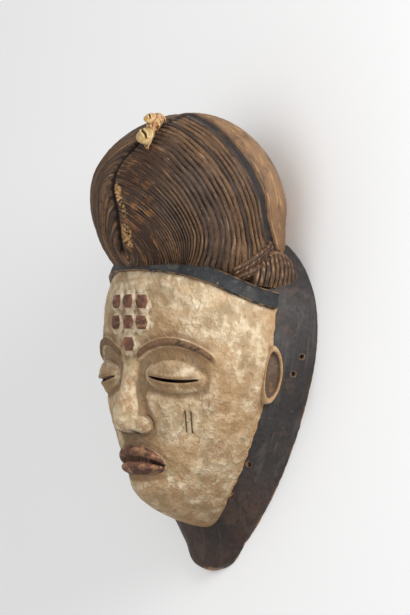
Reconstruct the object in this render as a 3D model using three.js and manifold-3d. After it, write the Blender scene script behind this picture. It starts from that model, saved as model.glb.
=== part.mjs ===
// A carved wooden face mask, lying on the flat rim of its back, with a tall grooved coiffure,
// and two cowrie shells tied to the top of the hair.
//
// Millimetres. +X is the mask's own left, +Y runs from the chin to the crown, +Z is the way it faces.
// Heights along Y are counted from the level of the ears' tops while the mask is being built.

import * as THREE from 'three';
import { LoftGeometry } from 'three/addons/geometries/LoftGeometry.js';
import { mergeVertices } from 'three/addons/utils/BufferGeometryUtils.js';
import Module from 'manifold-3d';

const degrees = THREE.MathUtils.degToRad;

const wasm = await Module();
wasm.setup();

// The hull is the hollow back of the mask, whose dark side walls show as a collar
const HULL_HALF_WIDTH = 91;
const HULL_WIDEST_Y = -10;
const HULL_TIP_LENGTH = 163.5; // from the widest level down to the end of the tongue below the chin
const HULL_TOP_RISE = 90; // from the widest level up to its top inside the coiffure
const HULL_DEPTH = 58;
const TONGUE_END_WIDENING = 6; // how much the tongue's blunt end is wider on each side
const HULL_POWER = 2.7; // how square its levels are: 2 is an oval
const WALL = 11;
const HOLLOW_TOP_Y = 52;
const HOLE_DIAMETER = 4.2;

// Small holes through the collar, for the cords that held the wearer's costume:
// level, place round the collar and tilt of the hole, both in degrees up from the rim
const HOLES = [[-14, 6.8, 8], [-96, 33, 37], [-119, 49, 40]];

// The face stands on the hull
const FACE_HALF_WIDTH = 82;
const FACE_WIDEST_Y = -20;
const FACE_CHIN_Y = -142;
const FACE_TOP_Y = 41;
const FACE_TOP_RISE = 120; // of the ellipse that its sides follow above their widest level
const FACE_FRONT_Z = 106;
const FOREHEAD_Y = 12; // where the forehead stands furthest forwards
const CHIN_Y = -126; // where the chin does
const FACE_PROUD = 2; // step between the collar and the edge of the face

// Carving of the face
const BROW_Y = -25;
const EYE_Y = -41;
const EYE_APART = 74;
const EYE_WIDTH = 49;
const EYE_HEIGHT = 25;
const EYE_BULGE = 6.5;
const SLIT_LENGTH = 38;
const SLIT_HEIGHT = 2.4;
const NOSE_BASE_Y = -83;
const NOSE_WIDTH = 34;
const NOSE_HEIGHT = 17;
const MOUTH_Y = -103;
const MOUTH_WIDTH = 48;
const MOUTH_GAP = 3;
const LIP_HEIGHT = 8;
const TOOTH_COUNT = 10;
const CHEEK_LINE_LENGTH = 17;
const CHEEK_LINE_DROP = 31; // from the eyes down to the middle of the lines
const LOZENGE_WIDTH = 12.5;
const LOZENGE_HEIGHT = 12;
const LOZENGE_RISE = 1.8;
const EAR_Y = EYE_Y + 10;
const EAR_LENGTH = 43;
const EAR_DEPTH = 19;
const EAR_RISE = 9;

// The headband
const BAND_HEIGHT = 13;
const BAND_PROUD = 3.5;
const BAND_DROP = 17; // how much lower its ends are than its middle

// The coiffure is a tall lobe, carved with grooves that ring the middle of the hairline
const HAIR_HALF_WIDTH = 71.5;
const HAIR_HALF_HEIGHT = 67;
const HAIR_HALF_DEPTH = 73.7;
const HAIR_LEAN = 4.5; // how far the lobe swells forwards above its middle
const TOP_POWER = 1.82; // above its middle it is a little more pointed than an egg
const HAIR_CENTRE_Y = 92.4;
const HAIR_CENTRE_Z = 61.8;
const GROOVE_PITCH = 5.6;
const GROOVE_DEPTH = 1.1;
const BAND_GROOVE_AT = 144; // along the hair, from the middle of the hairline to the wide dark groove
const BAND_GROOVE_WIDTH = 6.5;
const BAND_GROOVE_DEPTH = 2.2;
const BACK_GROOVE_COUNT = 5;
const CENTRE_GROOVE_WIDTH = 5;
const CENTRE_GROOVE_DEPTH = 3.2;
const RIBBON_WIDTH = 8;
const RIBBON_RISE = 2.4;
const RIBBON_TURNS = [[88, 112], [92, 121]]; // the ends of each ribbon: degrees round the hair
const RIBBON_LEVELS = [[39, 64], [34, 60]]; // and their levels
const BUN_LENGTH = 43;
const BUN_HEIGHT = 28;
const BUN_RISE = 12;
const BUN_RIDGES = 9;
const BUN_MIDDLE_Z = 28;

// The shells and their tie
const COWRIE_LENGTH = 17;
const COWRIE_WIDTH = 12.5;
const COWRIE_HEIGHT = 8;
const SMALL_COWRIE_LENGTH = 11;
const SMALL_COWRIE_WIDTH = 8;
const SMALL_COWRIE_HEIGHT = 5;
const TIE_WIDTH = 7;
const TIE_HEIGHT = 3.6;
const TIE_FROM = [86, 26]; // its lower end: how far above the hairline, and to the mask's left
const TIE_TO = [120, 8]; // its upper end
const COWRIE_PLACE = 0.24; // the shells' middles, as shares of the way up the tie
const SMALL_COWRIE_PLACE = 0.66;
const SHELL_SLANT = degrees(45);
const GAP = 0.3; // between pieces that touch

const { cos, sin, sqrt, abs, min, max, PI, hypot, sign } = Math;
const point = (x, y, z) => new THREE.Vector3(x, y, z);
const smooth = THREE.MathUtils.smoothstep;

// A list of count + 1 values, evenly from one end to the other
const steps = (from, to, count) =>
  Array.from({ length: count + 1 }, (_, i) => from + ((to - from) * i) / count);

// A smooth function through [place, value] pairs
function through(pairs) {
  const slope = (i) => {
    const before = pairs[max(i - 1, 0)];
    const after = pairs[min(i + 1, pairs.length - 1)];
    return (after[1] - before[1]) / (after[0] - before[0]);
  };
  return (place) => {
    const t = min(max(place, pairs[0][0]), pairs.at(-1)[0]);
    const i = max(0, pairs.findLastIndex(([start], k) => start <= t && k < pairs.length - 1));
    const [[t0, v0], [t1, v1]] = [pairs[i], pairs[i + 1]];
    const span = t1 - t0;
    const q = (t - t0) / span;
    return (
      v0 * (1 + 2 * q) * (1 - q) ** 2 +
      v1 * q * q * (3 - 2 * q) +
      span * (slope(i) * q * (1 - q) ** 2 - slope(i + 1) * q * q * (1 - q))
    );
  };
}

// A closed solid skinned over rings of points, all with the same number of points
function solid(rings) {
  const middle = rings[rings.length >> 1];
  const centre = (ring) => ring.reduce((sum, p) => sum.add(p), point(0, 0, 0)).divideScalar(ring.length);
  const turn = middle.reduce(
    (sum, p, i) => sum.add(p.clone().cross(middle[(i + 1) % middle.length])),
    point(0, 0, 0),
  );
  const along = centre(rings.at(-1)).sub(centre(rings[0]));
  const sections = turn.dot(along) > 0 ? rings : rings.map((ring) => [...ring].reverse());
  const loft = new LoftGeometry(sections, { capStart: true, capEnd: true });
  const surface = new THREE.BufferGeometry();
  surface.setAttribute('position', loft.getAttribute('position'));
  surface.setIndex(loft.getIndex());
  const { attributes, index } = mergeVertices(surface, 1e-4);
  const triVerts = new Uint32Array(index.array);
  const vertProperties = attributes.position.array;
  return new wasm.Manifold(new wasm.Mesh({ numProp: 3, vertProperties, triVerts }));
}

const joined = (solids) => solids.reduce((sum, s) => sum.add(s));
const mirrored = (rings) => rings.map((ring) => ring.map((p) => point(-p.x, p.y, p.z)));
const onBothSides = (rings) => solid(rings).add(solid(mirrored(rings)));

// Hull: each level is half an oval standing on the flat rim, with steep sides

// Half the hull's width at a level: an ellipse above the widest level, a rounded tongue below it
function hullHalfWidth(y) {
  const above = (y - HULL_WIDEST_Y) / HULL_TOP_RISE;
  const below = (HULL_WIDEST_Y - y) / HULL_TIP_LENGTH;
  const share = above > 0 ? sqrt(max(0, 1 - above ** 2)) : max(0, 1 - below ** 1.75) ** (1 / 1.55);
  return HULL_HALF_WIDTH * share + TONGUE_END_WIDENING * smooth(below, 0.95, 0.995);
}

const hullShare = through([
  [-1, 0.1], [-0.81, 0.23], [-0.67, 0.52], [-0.53, 0.73], [-0.4, 0.9], [-0.24, 1], [0.2, 1], [0.5, 0.8],
]);
const hullDepth = (y) => HULL_DEPTH * hullShare((y - HULL_WIDEST_Y) / HULL_TIP_LENGTH);

// A point of the hull's outside: angle 0 is on the rim at the mask's left, 90 degrees is the middle
function onHull(angle, y, out = 0) {
  const squared = (share) => sign(share) * abs(share) ** (2 / HULL_POWER);
  return point((hullHalfWidth(y) + out) * squared(cos(angle)), y, (hullDepth(y) + out) * squared(sin(angle)));
}

function hull() {
  const levels = [
    ...steps(HULL_WIDEST_Y - 0.995 * HULL_TIP_LENGTH, HULL_WIDEST_Y - 0.92 * HULL_TIP_LENGTH, 3),
    ...steps(HULL_WIDEST_Y - 0.84 * HULL_TIP_LENGTH, HULL_WIDEST_Y + 0.9 * HULL_TOP_RISE, 14),
  ];
  return solid(levels.map((y) => steps(0, PI, 16).map((angle) => onHull(angle, y))));
}

// Face: each level is an arch whose ends stand on the hull, rounder on the forehead than at the jaw

function faceHalfWidth(y) {
  const above = (y - FACE_WIDEST_Y) / FACE_TOP_RISE;
  const below = (FACE_WIDEST_Y - y) / (FACE_WIDEST_Y - FACE_CHIN_Y);
  return FACE_HALF_WIDTH * (above > 0 ? sqrt(max(0, 1 - above ** 2)) : max(0, 1 - below ** 1.75) ** 0.6);
}

// Where the edge of the face meets the hull
function faceEdgeZ(y) {
  const share = min(1, faceHalfWidth(y) / hullHalfWidth(y));
  return hullDepth(y) * (1 - share ** HULL_POWER) ** (1 / HULL_POWER);
}

// How deep the face is in front of its edge, on the middle line: fullest on the forehead, rounded at the chin
function faceDepth(y) {
  const below = FOREHEAD_Y - y;
  const front = FACE_FRONT_Z - (below > 0 ? 0.16 * below + 0.0006 * below ** 2 : 0.003 * below ** 2);
  const chinSwell = 3 * Math.exp(-(((y - CHIN_Y) / 9) ** 2));
  const underChin = min(1, max(0, (y - FACE_CHIN_Y) / 28));
  return (front + chinSwell - faceEdgeZ(y)) * (1 - (1 - underChin) ** 2.4) ** 0.5;
}

const jawShare = (y) => smooth(-y, -EYE_Y, -MOUTH_Y);
const archPower = (y) => 1 + 0.3 * jawShare(y);

// A point by its angle from the middle line, its level, and its height over the plain surface
function onFaceAngle(angle, y, height = 0) {
  const [halfWidth, depth] = [faceHalfWidth(y) + FACE_PROUD, faceDepth(y) + FACE_PROUD];
  const normal = point(sin(angle) * depth, 0, cos(angle) * halfWidth).normalize();
  const arch = max(0, cos(angle)) ** archPower(y);
  return point(halfWidth * sin(angle), y, faceEdgeZ(y) + depth * arch).addScaledVector(normal, height);
}

// The same by the distance across the face, measured along its curve
const onFace = (across, y, height = 0) =>
  onFaceAngle(across / (0.5 * (faceHalfWidth(y) + faceDepth(y))), y, height);

// The hairline falls towards the ears, and the top of the face and the headband follow it
const hairlineY = (angle) => FACE_TOP_Y - BAND_DROP * abs(sin(angle)) ** 4;

function faceBlock() {
  const levels = [
    ...[0.3, 1.3, 3.5, 7, 12, 18].map((up) => FACE_CHIN_Y + up),
    ...steps(FACE_CHIN_Y + 26, FACE_TOP_Y, 15),
  ];
  const rings = levels.map((level) => {
    const share = max(0, (level - HULL_WIDEST_Y) / (FACE_TOP_Y - HULL_WIDEST_Y));
    const y = (angle) => level - share * (FACE_TOP_Y - hairlineY(angle));
    const front = steps(-PI / 2, PI / 2, 18).map((angle) => onFaceAngle(angle, y(angle)));
    const sunk = (p, size, down) => point(p.x * size, p.y, p.z - down);
    const [left, right] = [front[0], front.at(-1)];
    return [sunk(left, 0.9, 14), sunk(left, 1, 6), ...front, sunk(right, 1, 6), sunk(right, 0.9, 14)];
  });
  const insideHair = (size, y) => rings.at(-1).map((p) => point(p.x * size, y ?? p.y, p.z * size));
  return solid([...rings, insideHair(0.95), insideHair(0.8, HAIR_CENTRE_Y - 0.5 * HAIR_HALF_HEIGHT)]);
}

// A ridge that runs across the face: its line, half width and rise are functions of the place across
function ridge(places, lineY, halfWidth, rise) {
  const section = [[-1, -0.5], [-0.75, 0.6], [-0.1, 1], [0.7, 0.65], [1, -0.5]];
  return places.map((s) =>
    section.map(([v, h]) => onFace(s, lineY(s) + v * halfWidth(s), h > 0 ? h * rise(s) : -2)),
  );
}

// A rounded lump on the face, as rings from its foot to its top
function lump(s, y, halfWidth, halfHeight, rise, sides) {
  return [[1, -3], [1, 0.12], [0.8, 0.62], [0.3, 1]].map(([size, h]) =>
    steps(0, 2 * PI, sides)
      .slice(1)
      .map((t) => {
        const height = h > 0 ? h * rise : h;
        return onFace(s + size * halfWidth * cos(t), y + size * halfHeight * sin(t), height);
      }),
  );
}

// A cutter through the wall, from inside to outside, whose outline is a bowed slot
function slot(s, y, length, height, bow, from, to, count = 6) {
  const edge = (side) =>
    steps(-1, 1, count).map((q) => {
      const half = (height / 2) * sqrt(max(0.02, 1 - q ** 4));
      return [s + (q * length) / 2, y + bow * (q ** 2 - 0.5) + side * half];
    });
  const outline = [...edge(-1), ...edge(1).reverse()];
  return steps(from, to, 2).map((h) => outline.map(([across, level]) => onFace(across, level, h)));
}

const EYE_AT = EYE_APART / 2;
const BROW_REACH = EYE_AT + 0.72 * EYE_WIDTH;
const browY = (s) => {
  const q = (abs(s) - EYE_AT) / (BROW_REACH - EYE_AT);
  return BROW_Y + 9 - (q < 0 ? 17 * q ** 2 : 13 * q ** 2);
};

function brows() {
  const root = 0.2 * EYE_AT;
  const rise = (s) => 3 * sqrt(max(0.05, 1 - ((abs(s) - EYE_AT) / (BROW_REACH - root)) ** 2));
  return onBothSides(ridge(steps(root, BROW_REACH, 10), browY, () => 3.2, rise));
}

function eyes() {
  return onBothSides(lump(EYE_AT, EYE_Y, EYE_WIDTH / 2, EYE_HEIGHT / 2, EYE_BULGE, 14));
}

function eyeSlits() {
  const y = EYE_Y - 0.08 * EYE_HEIGHT;
  return onBothSides(slot(EYE_AT, y, SLIT_LENGTH, SLIT_HEIGHT, 2.6, -2.4 * WALL, 2 * EYE_BULGE));
}

// The nose grows in width and height from its root to its base, and the wings stand beside the tip
function nose() {
  const length = BROW_Y - 6 - NOSE_BASE_Y;
  const halfWidth = through([[0, 5], [0.45, 5.5], [0.8, 9.5], [1, 8]]);
  const rise = through([[0, 1.5], [0.3, 0.42 * NOSE_HEIGHT], [0.86, NOSE_HEIGHT], [1, 0.72 * NOSE_HEIGHT]]);
  const section = [[-1.25, -2], [-0.85, 0.45], [-0.35, 0.95], [0.35, 0.95], [0.85, 0.45], [1.25, -2]];
  const bridge = steps(0, 1, 7).map((t) => {
    const y = NOSE_BASE_Y + (1 - t) * length;
    return section.map(([v, h]) => onFace(v * halfWidth(t), y, h > 0 ? h * rise(t) : h));
  });
  const wing = lump(0.3 * NOSE_WIDTH, NOSE_BASE_Y + 7, 0.2 * NOSE_WIDTH, 7, 0.52 * NOSE_HEIGHT, 10);
  return solid(bridge).add(onBothSides(wing));
}

// Full lips, a little apart
function lips() {
  const half = MOUTH_WIDTH / 2;
  const taper = (s) => sqrt(max(0.03, 1 - (s / half) ** 2));
  const bow = (s) => MOUTH_Y + 2 - 4 * (s / half) ** 2;
  const dip = (s) => 1.2 * max(0, 1 - (s / 7) ** 2);
  const upperHalf = (s) => 5.2 * taper(s) ** 0.8 - 0.5 * dip(s);
  const lowerHalf = (s) => 5.8 * taper(s);
  const rise = (s) => LIP_HEIGHT * taper(s) ** 0.7;
  const places = steps(-half, half, 10);
  const gap = (s) => 0.5 * MOUTH_GAP * taper(s);
  const upper = ridge(places, (s) => bow(s) + upperHalf(s) + gap(s), upperHalf, rise);
  const lower = ridge(places, (s) => bow(s) - lowerHalf(s) - gap(s), lowerHalf, rise);
  return solid(upper).add(solid(lower));
}

// Small teeth cut in a row between the lips
function teeth() {
  const row = 0.62 * MOUTH_WIDTH;
  const width = row / TOOTH_COUNT;
  const tooth = (s) =>
    [[-3, 1], [0.5 * LIP_HEIGHT, 0.7]].map(([h, size]) => {
      const middle = MOUTH_Y + 2 - 4 * ((2 * s) / MOUTH_WIDTH) ** 2;
      const [a, b] = [size * 0.42 * width, 0.5 * MOUTH_GAP + 0.8];
      return [[-a, -b], [a, -b], [a, b], [-a, b]].map(([u, v]) => onFace(s + u, middle + v, h));
    });
  const last = row / 2 - width / 2;
  return joined(steps(-last, last, TOOTH_COUNT - 1).map((s) => solid(tooth(s))));
}

// Scarification: two rows of three raised lozenges on the forehead and one below them
function lozenges() {
  const across = 1.12 * LOZENGE_WIDTH;
  const down = 1.26 * LOZENGE_HEIGHT;
  const places = [-1, 0, 1].flatMap((i) => [[i, 0], [i, 1]]).concat([[0, 2.05]]);
  return joined(
    places.map(([i, k]) => {
      const [s, y] = [i * across, FOREHEAD_Y - k * down];
      const corners = [[-1, 0], [-0.5, -0.85], [0.5, -0.85], [1, 0], [0.5, 0.85], [-0.5, 0.85]];
      const rings = [[1.05, -1], [0.75, LOZENGE_RISE], [0.2, LOZENGE_RISE + 0.4]].map(([size, h]) =>
        corners.map(([u, v]) =>
          onFace(s + (size * u * LOZENGE_WIDTH) / 2, y + (size * v * LOZENGE_HEIGHT) / 2, h),
        ),
      );
      return solid(rings);
    }),
  );
}

// Two upright incised lines on each cheek
function cheekLines() {
  const line = (s) =>
    [-1.1, 2].map((h) =>
      [[-0.3, -0.5], [0.3, -0.5], [1.1, 0.5], [0.5, 0.5]].map(([u, v]) =>
        onFace(s + u * (h > 0 ? 2 : 0.6), EYE_Y - CHEEK_LINE_DROP + v * CHEEK_LINE_LENGTH, h),
      ),
    );
  return onBothSides(line(EYE_AT + 5)).add(onBothSides(line(EYE_AT + 9)));
}

// Ears: half a dish on each edge of the face, round behind and hollowed towards the front

function ear(rings, half, forwards) {
  const outward = point(1, 0, 0.25).normalize();
  const back = point(0.25, 0, -1).normalize();
  const root = point(faceHalfWidth(EAR_Y), EAR_Y, faceEdgeZ(EAR_Y) + 0.35 * EAR_DEPTH);
  return rings.map(([size, h]) =>
    steps(0, 2 * PI, 10)
      .slice(1)
      .map((t) =>
        root
          .clone()
          .addScaledVector(outward, h * EAR_RISE)
          .addScaledVector(back, size * half * (cos(t) > 0 ? 1 : 0.35) * cos(t) * EAR_DEPTH - forwards)
          .add(point(0, size * half * sin(t) * EAR_LENGTH, 0)),
      ),
  );
}

function ears() {
  const outside = ear([[0.9, -1], [1, 0.6], [0.75, 1]], 0.5, 0);
  const inside = ear([[0.7, 0.35], [1.1, 1.2]], 0.31, 2.5);
  return onBothSides(outside).subtract(onBothSides(inside));
}

// Headband: a plain raised band along the hairline
function headband() {
  const half = BAND_HEIGHT / 2;
  const edge = 0.8 * BAND_PROUD;
  const section = [[-half, -18], [-half, edge], [0, BAND_PROUD], [half, edge], [half, -18]];
  return solid(
    steps(-PI / 2, PI / 2, 16).map((angle) => {
      const y = hairlineY(angle);
      return section.map(([up, h]) => onFaceAngle(angle, y + up, h));
    }),
  );
}

// Coiffure

// How square the lobe is below its middle: round at the front, nearly upright at its sides and back
const hairPower = (angle) => 2.3 + 2.2 * smooth(abs(angle), degrees(42), degrees(110));
const hairLean = (level) => HAIR_LEAN * max(0, 1 - ((level - 0.3) / 0.75) ** 2);

// A point of the hair by its angle round from the front and its level
function onHair(angle, y, height = 0) {
  const level = (y - HAIR_CENTRE_Y) / HAIR_HALF_HEIGHT;
  const power = level < 0 ? hairPower(angle) : TOP_POWER;
  const size = max(0, 1 - abs(level) ** power) ** (1 / power);
  return point(
    (HAIR_HALF_WIDTH * size + height) * sin(angle),
    y,
    HAIR_CENTRE_Z + hairLean(level) + (HAIR_HALF_DEPTH * size + height) * cos(angle),
  );
}

// A point of the hair in a direction from its centre; raised is a share of the way out
function onHairDirection(direction, raised = 0) {
  const flat = hypot(direction.x, direction.z);
  const power = direction.y < 0 ? hairPower(Math.atan2(direction.x, direction.z)) : TOP_POWER;
  const reach = (1 + raised) * (flat ** power + abs(direction.y) ** power) ** (-1 / power);
  return point(
    HAIR_HALF_WIDTH * reach * direction.x,
    HAIR_CENTRE_Y + HAIR_HALF_HEIGHT * reach * direction.y,
    HAIR_CENTRE_Z + hairLean(reach * direction.y) + HAIR_HALF_DEPTH * reach * direction.z,
  );
}

// The grooves ring this place, the middle of the hairline just above the headband
const CORNER_LEAN = Math.asin((HAIR_CENTRE_Y - FACE_TOP_Y - BAND_HEIGHT / 2) / HAIR_HALF_HEIGHT);
const corner = point(0, -sin(CORNER_LEAN), cos(CORNER_LEAN));
const upward = point(0, cos(CORNER_LEAN), sin(CORNER_LEAN));
const leftward = point(1, 0, 0);

// How far the sides of a large ring are drawn in towards the corner, by its turn: both in degrees
const drawnIn = through([[0, 0], [30, 2], [60, 6], [90, 13], [120, 25.5], [180, 33]]);

// The direction at an angle away from the corner, turned round it from the centre groove.
// The first rings are round. The larger ones reach high up the middle and run down steeply at their sides.
function fromCorner(away, turn) {
  const large = smooth(away, degrees(25), degrees(75)) * (1 - smooth(away, degrees(140), PI));
  const drawn = away - large * degrees(drawnIn(abs(turn) * THREE.MathUtils.RAD2DEG));
  return corner
    .clone()
    .multiplyScalar(cos(drawn))
    .addScaledVector(upward, sin(drawn) * cos(turn))
    .addScaledVector(leftward, sin(drawn) * sin(turn));
}

const HAIR_RADIUS = (HAIR_HALF_WIDTH + HAIR_HALF_HEIGHT + HAIR_HALF_DEPTH) / 3;
const BAND_GROOVE_FROM = (BAND_GROOVE_AT - BAND_GROOVE_WIDTH / 2) / HAIR_RADIUS;
const BAND_GROOVE_TO = (BAND_GROOVE_AT + BAND_GROOVE_WIDTH / 2) / HAIR_RADIUS;

// The turns of a ring's points round the corner: the centre groove's floor and sides first,
// close together where the visible hair is and far apart below it.
// The groove bends to the mask's left at the top.
function turnsAt(away) {
  const bend = 0.16 * smooth(away, 0.9, 1.3);
  const groove = min(0.25, CENTRE_GROOVE_WIDTH / 2 / (HAIR_RADIUS * sin(away)));
  const side = [20, 39, 58, 77, 96, 115, 140].map((turn) => max(groove * 1.2, degrees(turn)));
  const turns = [0, groove, ...side, PI, ...side.map((turn) => -turn).reverse(), -groove];
  return turns.map((turn) => turn + bend * (1 - abs(turn) / PI));
}

function coiffure() {
  const pitch = GROOVE_PITCH / HAIR_RADIUS;
  const grooved = (from, to, count) =>
    steps(from, to, 2 * count).map((away, i) => [away, i % 2 ? GROOVE_DEPTH : 0]);
  const frontCount = Math.round(BAND_GROOVE_FROM / pitch);
  const backEnd = BAND_GROOVE_TO + BACK_GROOVE_COUNT * pitch;
  const rings = [
    ...grooved(pitch, BAND_GROOVE_FROM, frontCount - 1),
    [BAND_GROOVE_FROM + 0.15 * pitch, BAND_GROOVE_DEPTH],
    [BAND_GROOVE_TO - 0.15 * pitch, BAND_GROOVE_DEPTH],
    ...grooved(BAND_GROOVE_TO, backEnd, BACK_GROOVE_COUNT),
    ...steps(backEnd, PI - pitch, 4).slice(1).map((away) => [away, 0]),
  ];
  return solid(
    rings.map(([away, depth]) =>
      turnsAt(away).map((turn, i) => {
        const cut = i === 0 && away <= BAND_GROOVE_FROM ? CENTRE_GROOVE_DEPTH : depth;
        return onHairDirection(fromCorner(away, turn), -cut / HAIR_RADIUS);
      }),
    ),
  );
}

// Smooth ribbons of hair that climb from the hairline to the back, one above the other
function ribbon(turns, levels) {
  return steps(0, 1, 7).map((t) => {
    const angle = degrees(turns[0] + (turns[1] - turns[0]) * t);
    const y = levels[0] + (levels[1] - levels[0]) * t;
    return [[-1, -9], [-0.8, 0.7], [0, 1], [0.8, 0.7], [1, -9]].map(([v, h]) =>
      onHair(angle - 0.03 * v, y + (0.75 * v * RIBBON_WIDTH) / 2, h > 0 ? h * RIBBON_RISE : h),
    );
  });
}

// Ridged bun of hair on each end of the headband: half an oval along Z, fuller at its foot
const BUN_FOOT_Y = FACE_TOP_Y - BAND_DROP + BAND_HEIGHT / 2 + 3;

function buns() {
  const foot = hullHalfWidth(BUN_FOOT_Y) - 16;
  const rings = steps(-0.97, 0.97, 2 * BUN_RIDGES).map((q, i) => {
    const full = sqrt(1 - q ** 2);
    const z = BUN_MIDDLE_Z + (q * BUN_LENGTH) / 2;
    const rise = BUN_RISE * (0.35 + 0.65 * full) - (i % 2 ? 0 : 1.1);
    const top = BUN_HEIGHT * (0.25 + 0.75 * full);
    const section = [[-14, 0], [0.85 * rise, 0], [rise, 0.3], [0.72 * rise, 0.75], [0.3 * rise, 1], [-14, 1]];
    return section.map(([x, up]) => point(foot + x, BUN_FOOT_Y + up * top, z));
  });
  return onBothSides(rings);
}

// Hollow: the outside of hull and face, moved in by the wall
function hollow() {
  const outside = (angle, y) => {
    const [width, depth] = [hullHalfWidth(y), max(0.1, hullDepth(y))];
    const [across, up] = [abs(cos(angle)) / width, sin(angle) / depth];
    const onWall = (across ** HULL_POWER + up ** HULL_POWER) ** (-1 / HULL_POWER);
    if (y < FACE_CHIN_Y + 1) return onWall;
    const [faceWidth, faceFront, edge] = [faceHalfWidth(y), faceDepth(y), faceEdgeZ(y)];
    if (faceFront < 1) return onWall;
    const a = (cos(angle) / faceWidth) ** 2 + (sin(angle) / faceFront) ** 2;
    const b = (sin(angle) * edge) / faceFront ** 2;
    const inside = b ** 2 - a * ((edge / faceFront) ** 2 - 1);
    return max(onWall, inside > 0 ? (b + sqrt(inside)) / a : 0);
  };
  const topFrom = HULL_WIDEST_Y + 12;
  const rings = steps(HULL_WIDEST_Y - 0.7 * HULL_TIP_LENGTH, HOLLOW_TOP_Y - 0.5, 12).map((y, i) => {
    const end = i ? sqrt(1 - (max(0, y - topFrom) / (HOLLOW_TOP_Y - topFrom)) ** 2) : 0.7;
    const arch = steps(0, PI, 10).map((angle) => {
      const r = max(3, outside(angle, min(y, topFrom + 10) - WALL) - WALL) * end;
      return point(r * cos(angle), y, r * sin(angle));
    });
    const [left, right] = [arch[0], arch.at(-1)];
    return [point(left.x, y, -5), ...arch, point(right.x, y, -5)];
  });
  return solid(rings);
}

function rimHoles() {
  return joined(
    HOLES.map(([y, angle, tilt]) => {
      const along = point(cos(degrees(tilt)), -0.1, sin(degrees(tilt))).normalize();
      const place = onHull(degrees(angle), y);
      const [p, q] = [-1.7, 1].map((walls) => place.clone().addScaledVector(along, walls * WALL));
      const side = point(0, 1, 0).cross(along).normalize();
      const up = along.clone().cross(side);
      const circle = (centre) =>
        steps(0, 2 * PI, 8)
          .slice(1)
          .map((a) =>
            centre
              .clone()
              .addScaledVector(side, (cos(a) * HOLE_DIAMETER) / 2)
              .addScaledVector(up, (sin(a) * HOLE_DIAMETER) / 2),
          );
      return onBothSides([circle(p), circle(q)]);
    }),
  );
}

// Everything below the rim plane, which the mask lies on
function belowRim() {
  const reach = 2 * HULL_TIP_LENGTH;
  const corners = [[-1, -1], [1, -1], [1, 1], [-1, 1]];
  return solid([-HAIR_HALF_DEPTH, 0].map((z) => corners.map(([x, y]) => point(x * reach, y * reach, z))));
}

function mask() {
  const lipSlot = solid(slot(0, MOUTH_Y, 0.7 * MOUTH_WIDTH, MOUTH_GAP, -2, -0.6, 2 * LIP_HEIGHT));
  const carving = joined([brows(), eyes(), nose(), lips(), teeth(), lozenges()]);
  const face = faceBlock().subtract(lipSlot).add(carving);
  const hair = joined([
    coiffure(),
    ...RIBBON_TURNS.map((turns, i) => onBothSides(ribbon(turns, RIBBON_LEVELS[i]))),
    buns(),
  ]);
  return joined([hull(), face.subtract(cheekLines()), ears(), headband(), hair])
    .subtract(hollow())
    .subtract(eyeSlits())
    .subtract(rimHoles())
    .subtract(belowRim());
}

// Shells and tie, set on the hair above the end of the centre groove

// A place by its distance from the corner along the middle of the hair, and how far it is to the mask's left
function onCrown(distance, across, height) {
  const direction = fromCorner(distance / HAIR_RADIUS, 0).addScaledVector(leftward, across / HAIR_RADIUS);
  return onHairDirection(direction.normalize(), height / HAIR_RADIUS);
}

// An oval body on the hair, flat below. Its upper end slants to the mask's right.
function body([distance, across], slant, length, foot, halfWidth, height, section, count) {
  const rings = steps(-0.97, 0.97, count).map((q) =>
    section.map(([u, h]) => {
      const along = (q * length) / 2;
      const aside = u * halfWidth(q);
      const up = distance + along * cos(slant) + aside * sin(slant);
      return onCrown(up, across - along * sin(slant) + aside * cos(slant), foot + h * height(q));
    }),
  );
  return solid(rings);
}

// A place on the middle line of the tie, by the share of the way up it
const onTie = (share) => TIE_FROM.map((start, i) => start + share * (TIE_TO[i] - start));

const oval = [[-0.6, 0], [-1, 0.35], [-0.85, 0.75], [-0.4, 1], [0.4, 1], [0.85, 0.75], [1, 0.35], [0.6, 0]];
const slitted = [
  [-0.6, 0], [-1, 0.4], [-0.8, 0.82], [-0.35, 1], [-0.1, 0.95], [0, 0.72],
  [0.1, 0.95], [0.35, 1], [0.8, 0.82], [1, 0.4], [0.6, 0],
];
const egg = (q) => sqrt(1 - q ** 2) * (1 - 0.18 * q);

function fibreTie() {
  const width = through([[-1, 0.3], [-0.5, 0.7], [0.2, 0.8], [0.55, 1.5], [0.85, 1.6], [1, 0.7]]);
  const height = through([[-1, 0.5], [0.2, 1], [0.5, 2.4], [0.8, 2.6], [1, 0.8]]);
  const halfWidth = (q) => (TIE_WIDTH / 2) * width(q);
  const [up, right] = [TIE_TO[0] - TIE_FROM[0], TIE_FROM[1] - TIE_TO[1]];
  const slant = Math.atan2(right, up);
  return body(onTie(0.5), slant, hypot(up, right), GAP, halfWidth, (q) => TIE_HEIGHT * height(q), oval, 11);
}

function cowrie(place, length, width, height, foot, count) {
  const halfWidth = (q) => (width / 2) * egg(q);
  return body(onTie(place), SHELL_SLANT, length, foot, halfWidth, (q) => height * egg(q) ** 0.7, slitted, count);
}

const cowrieLower = () =>
  cowrie(COWRIE_PLACE, COWRIE_LENGTH, COWRIE_WIDTH, COWRIE_HEIGHT, TIE_HEIGHT + 3 * GAP, 10);

const cowrieUpper = () =>
  cowrie(
    SMALL_COWRIE_PLACE,
    SMALL_COWRIE_LENGTH,
    SMALL_COWRIE_WIDTH,
    SMALL_COWRIE_HEIGHT,
    2.6 * TIE_HEIGHT + 3 * GAP,
    8,
  );

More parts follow.
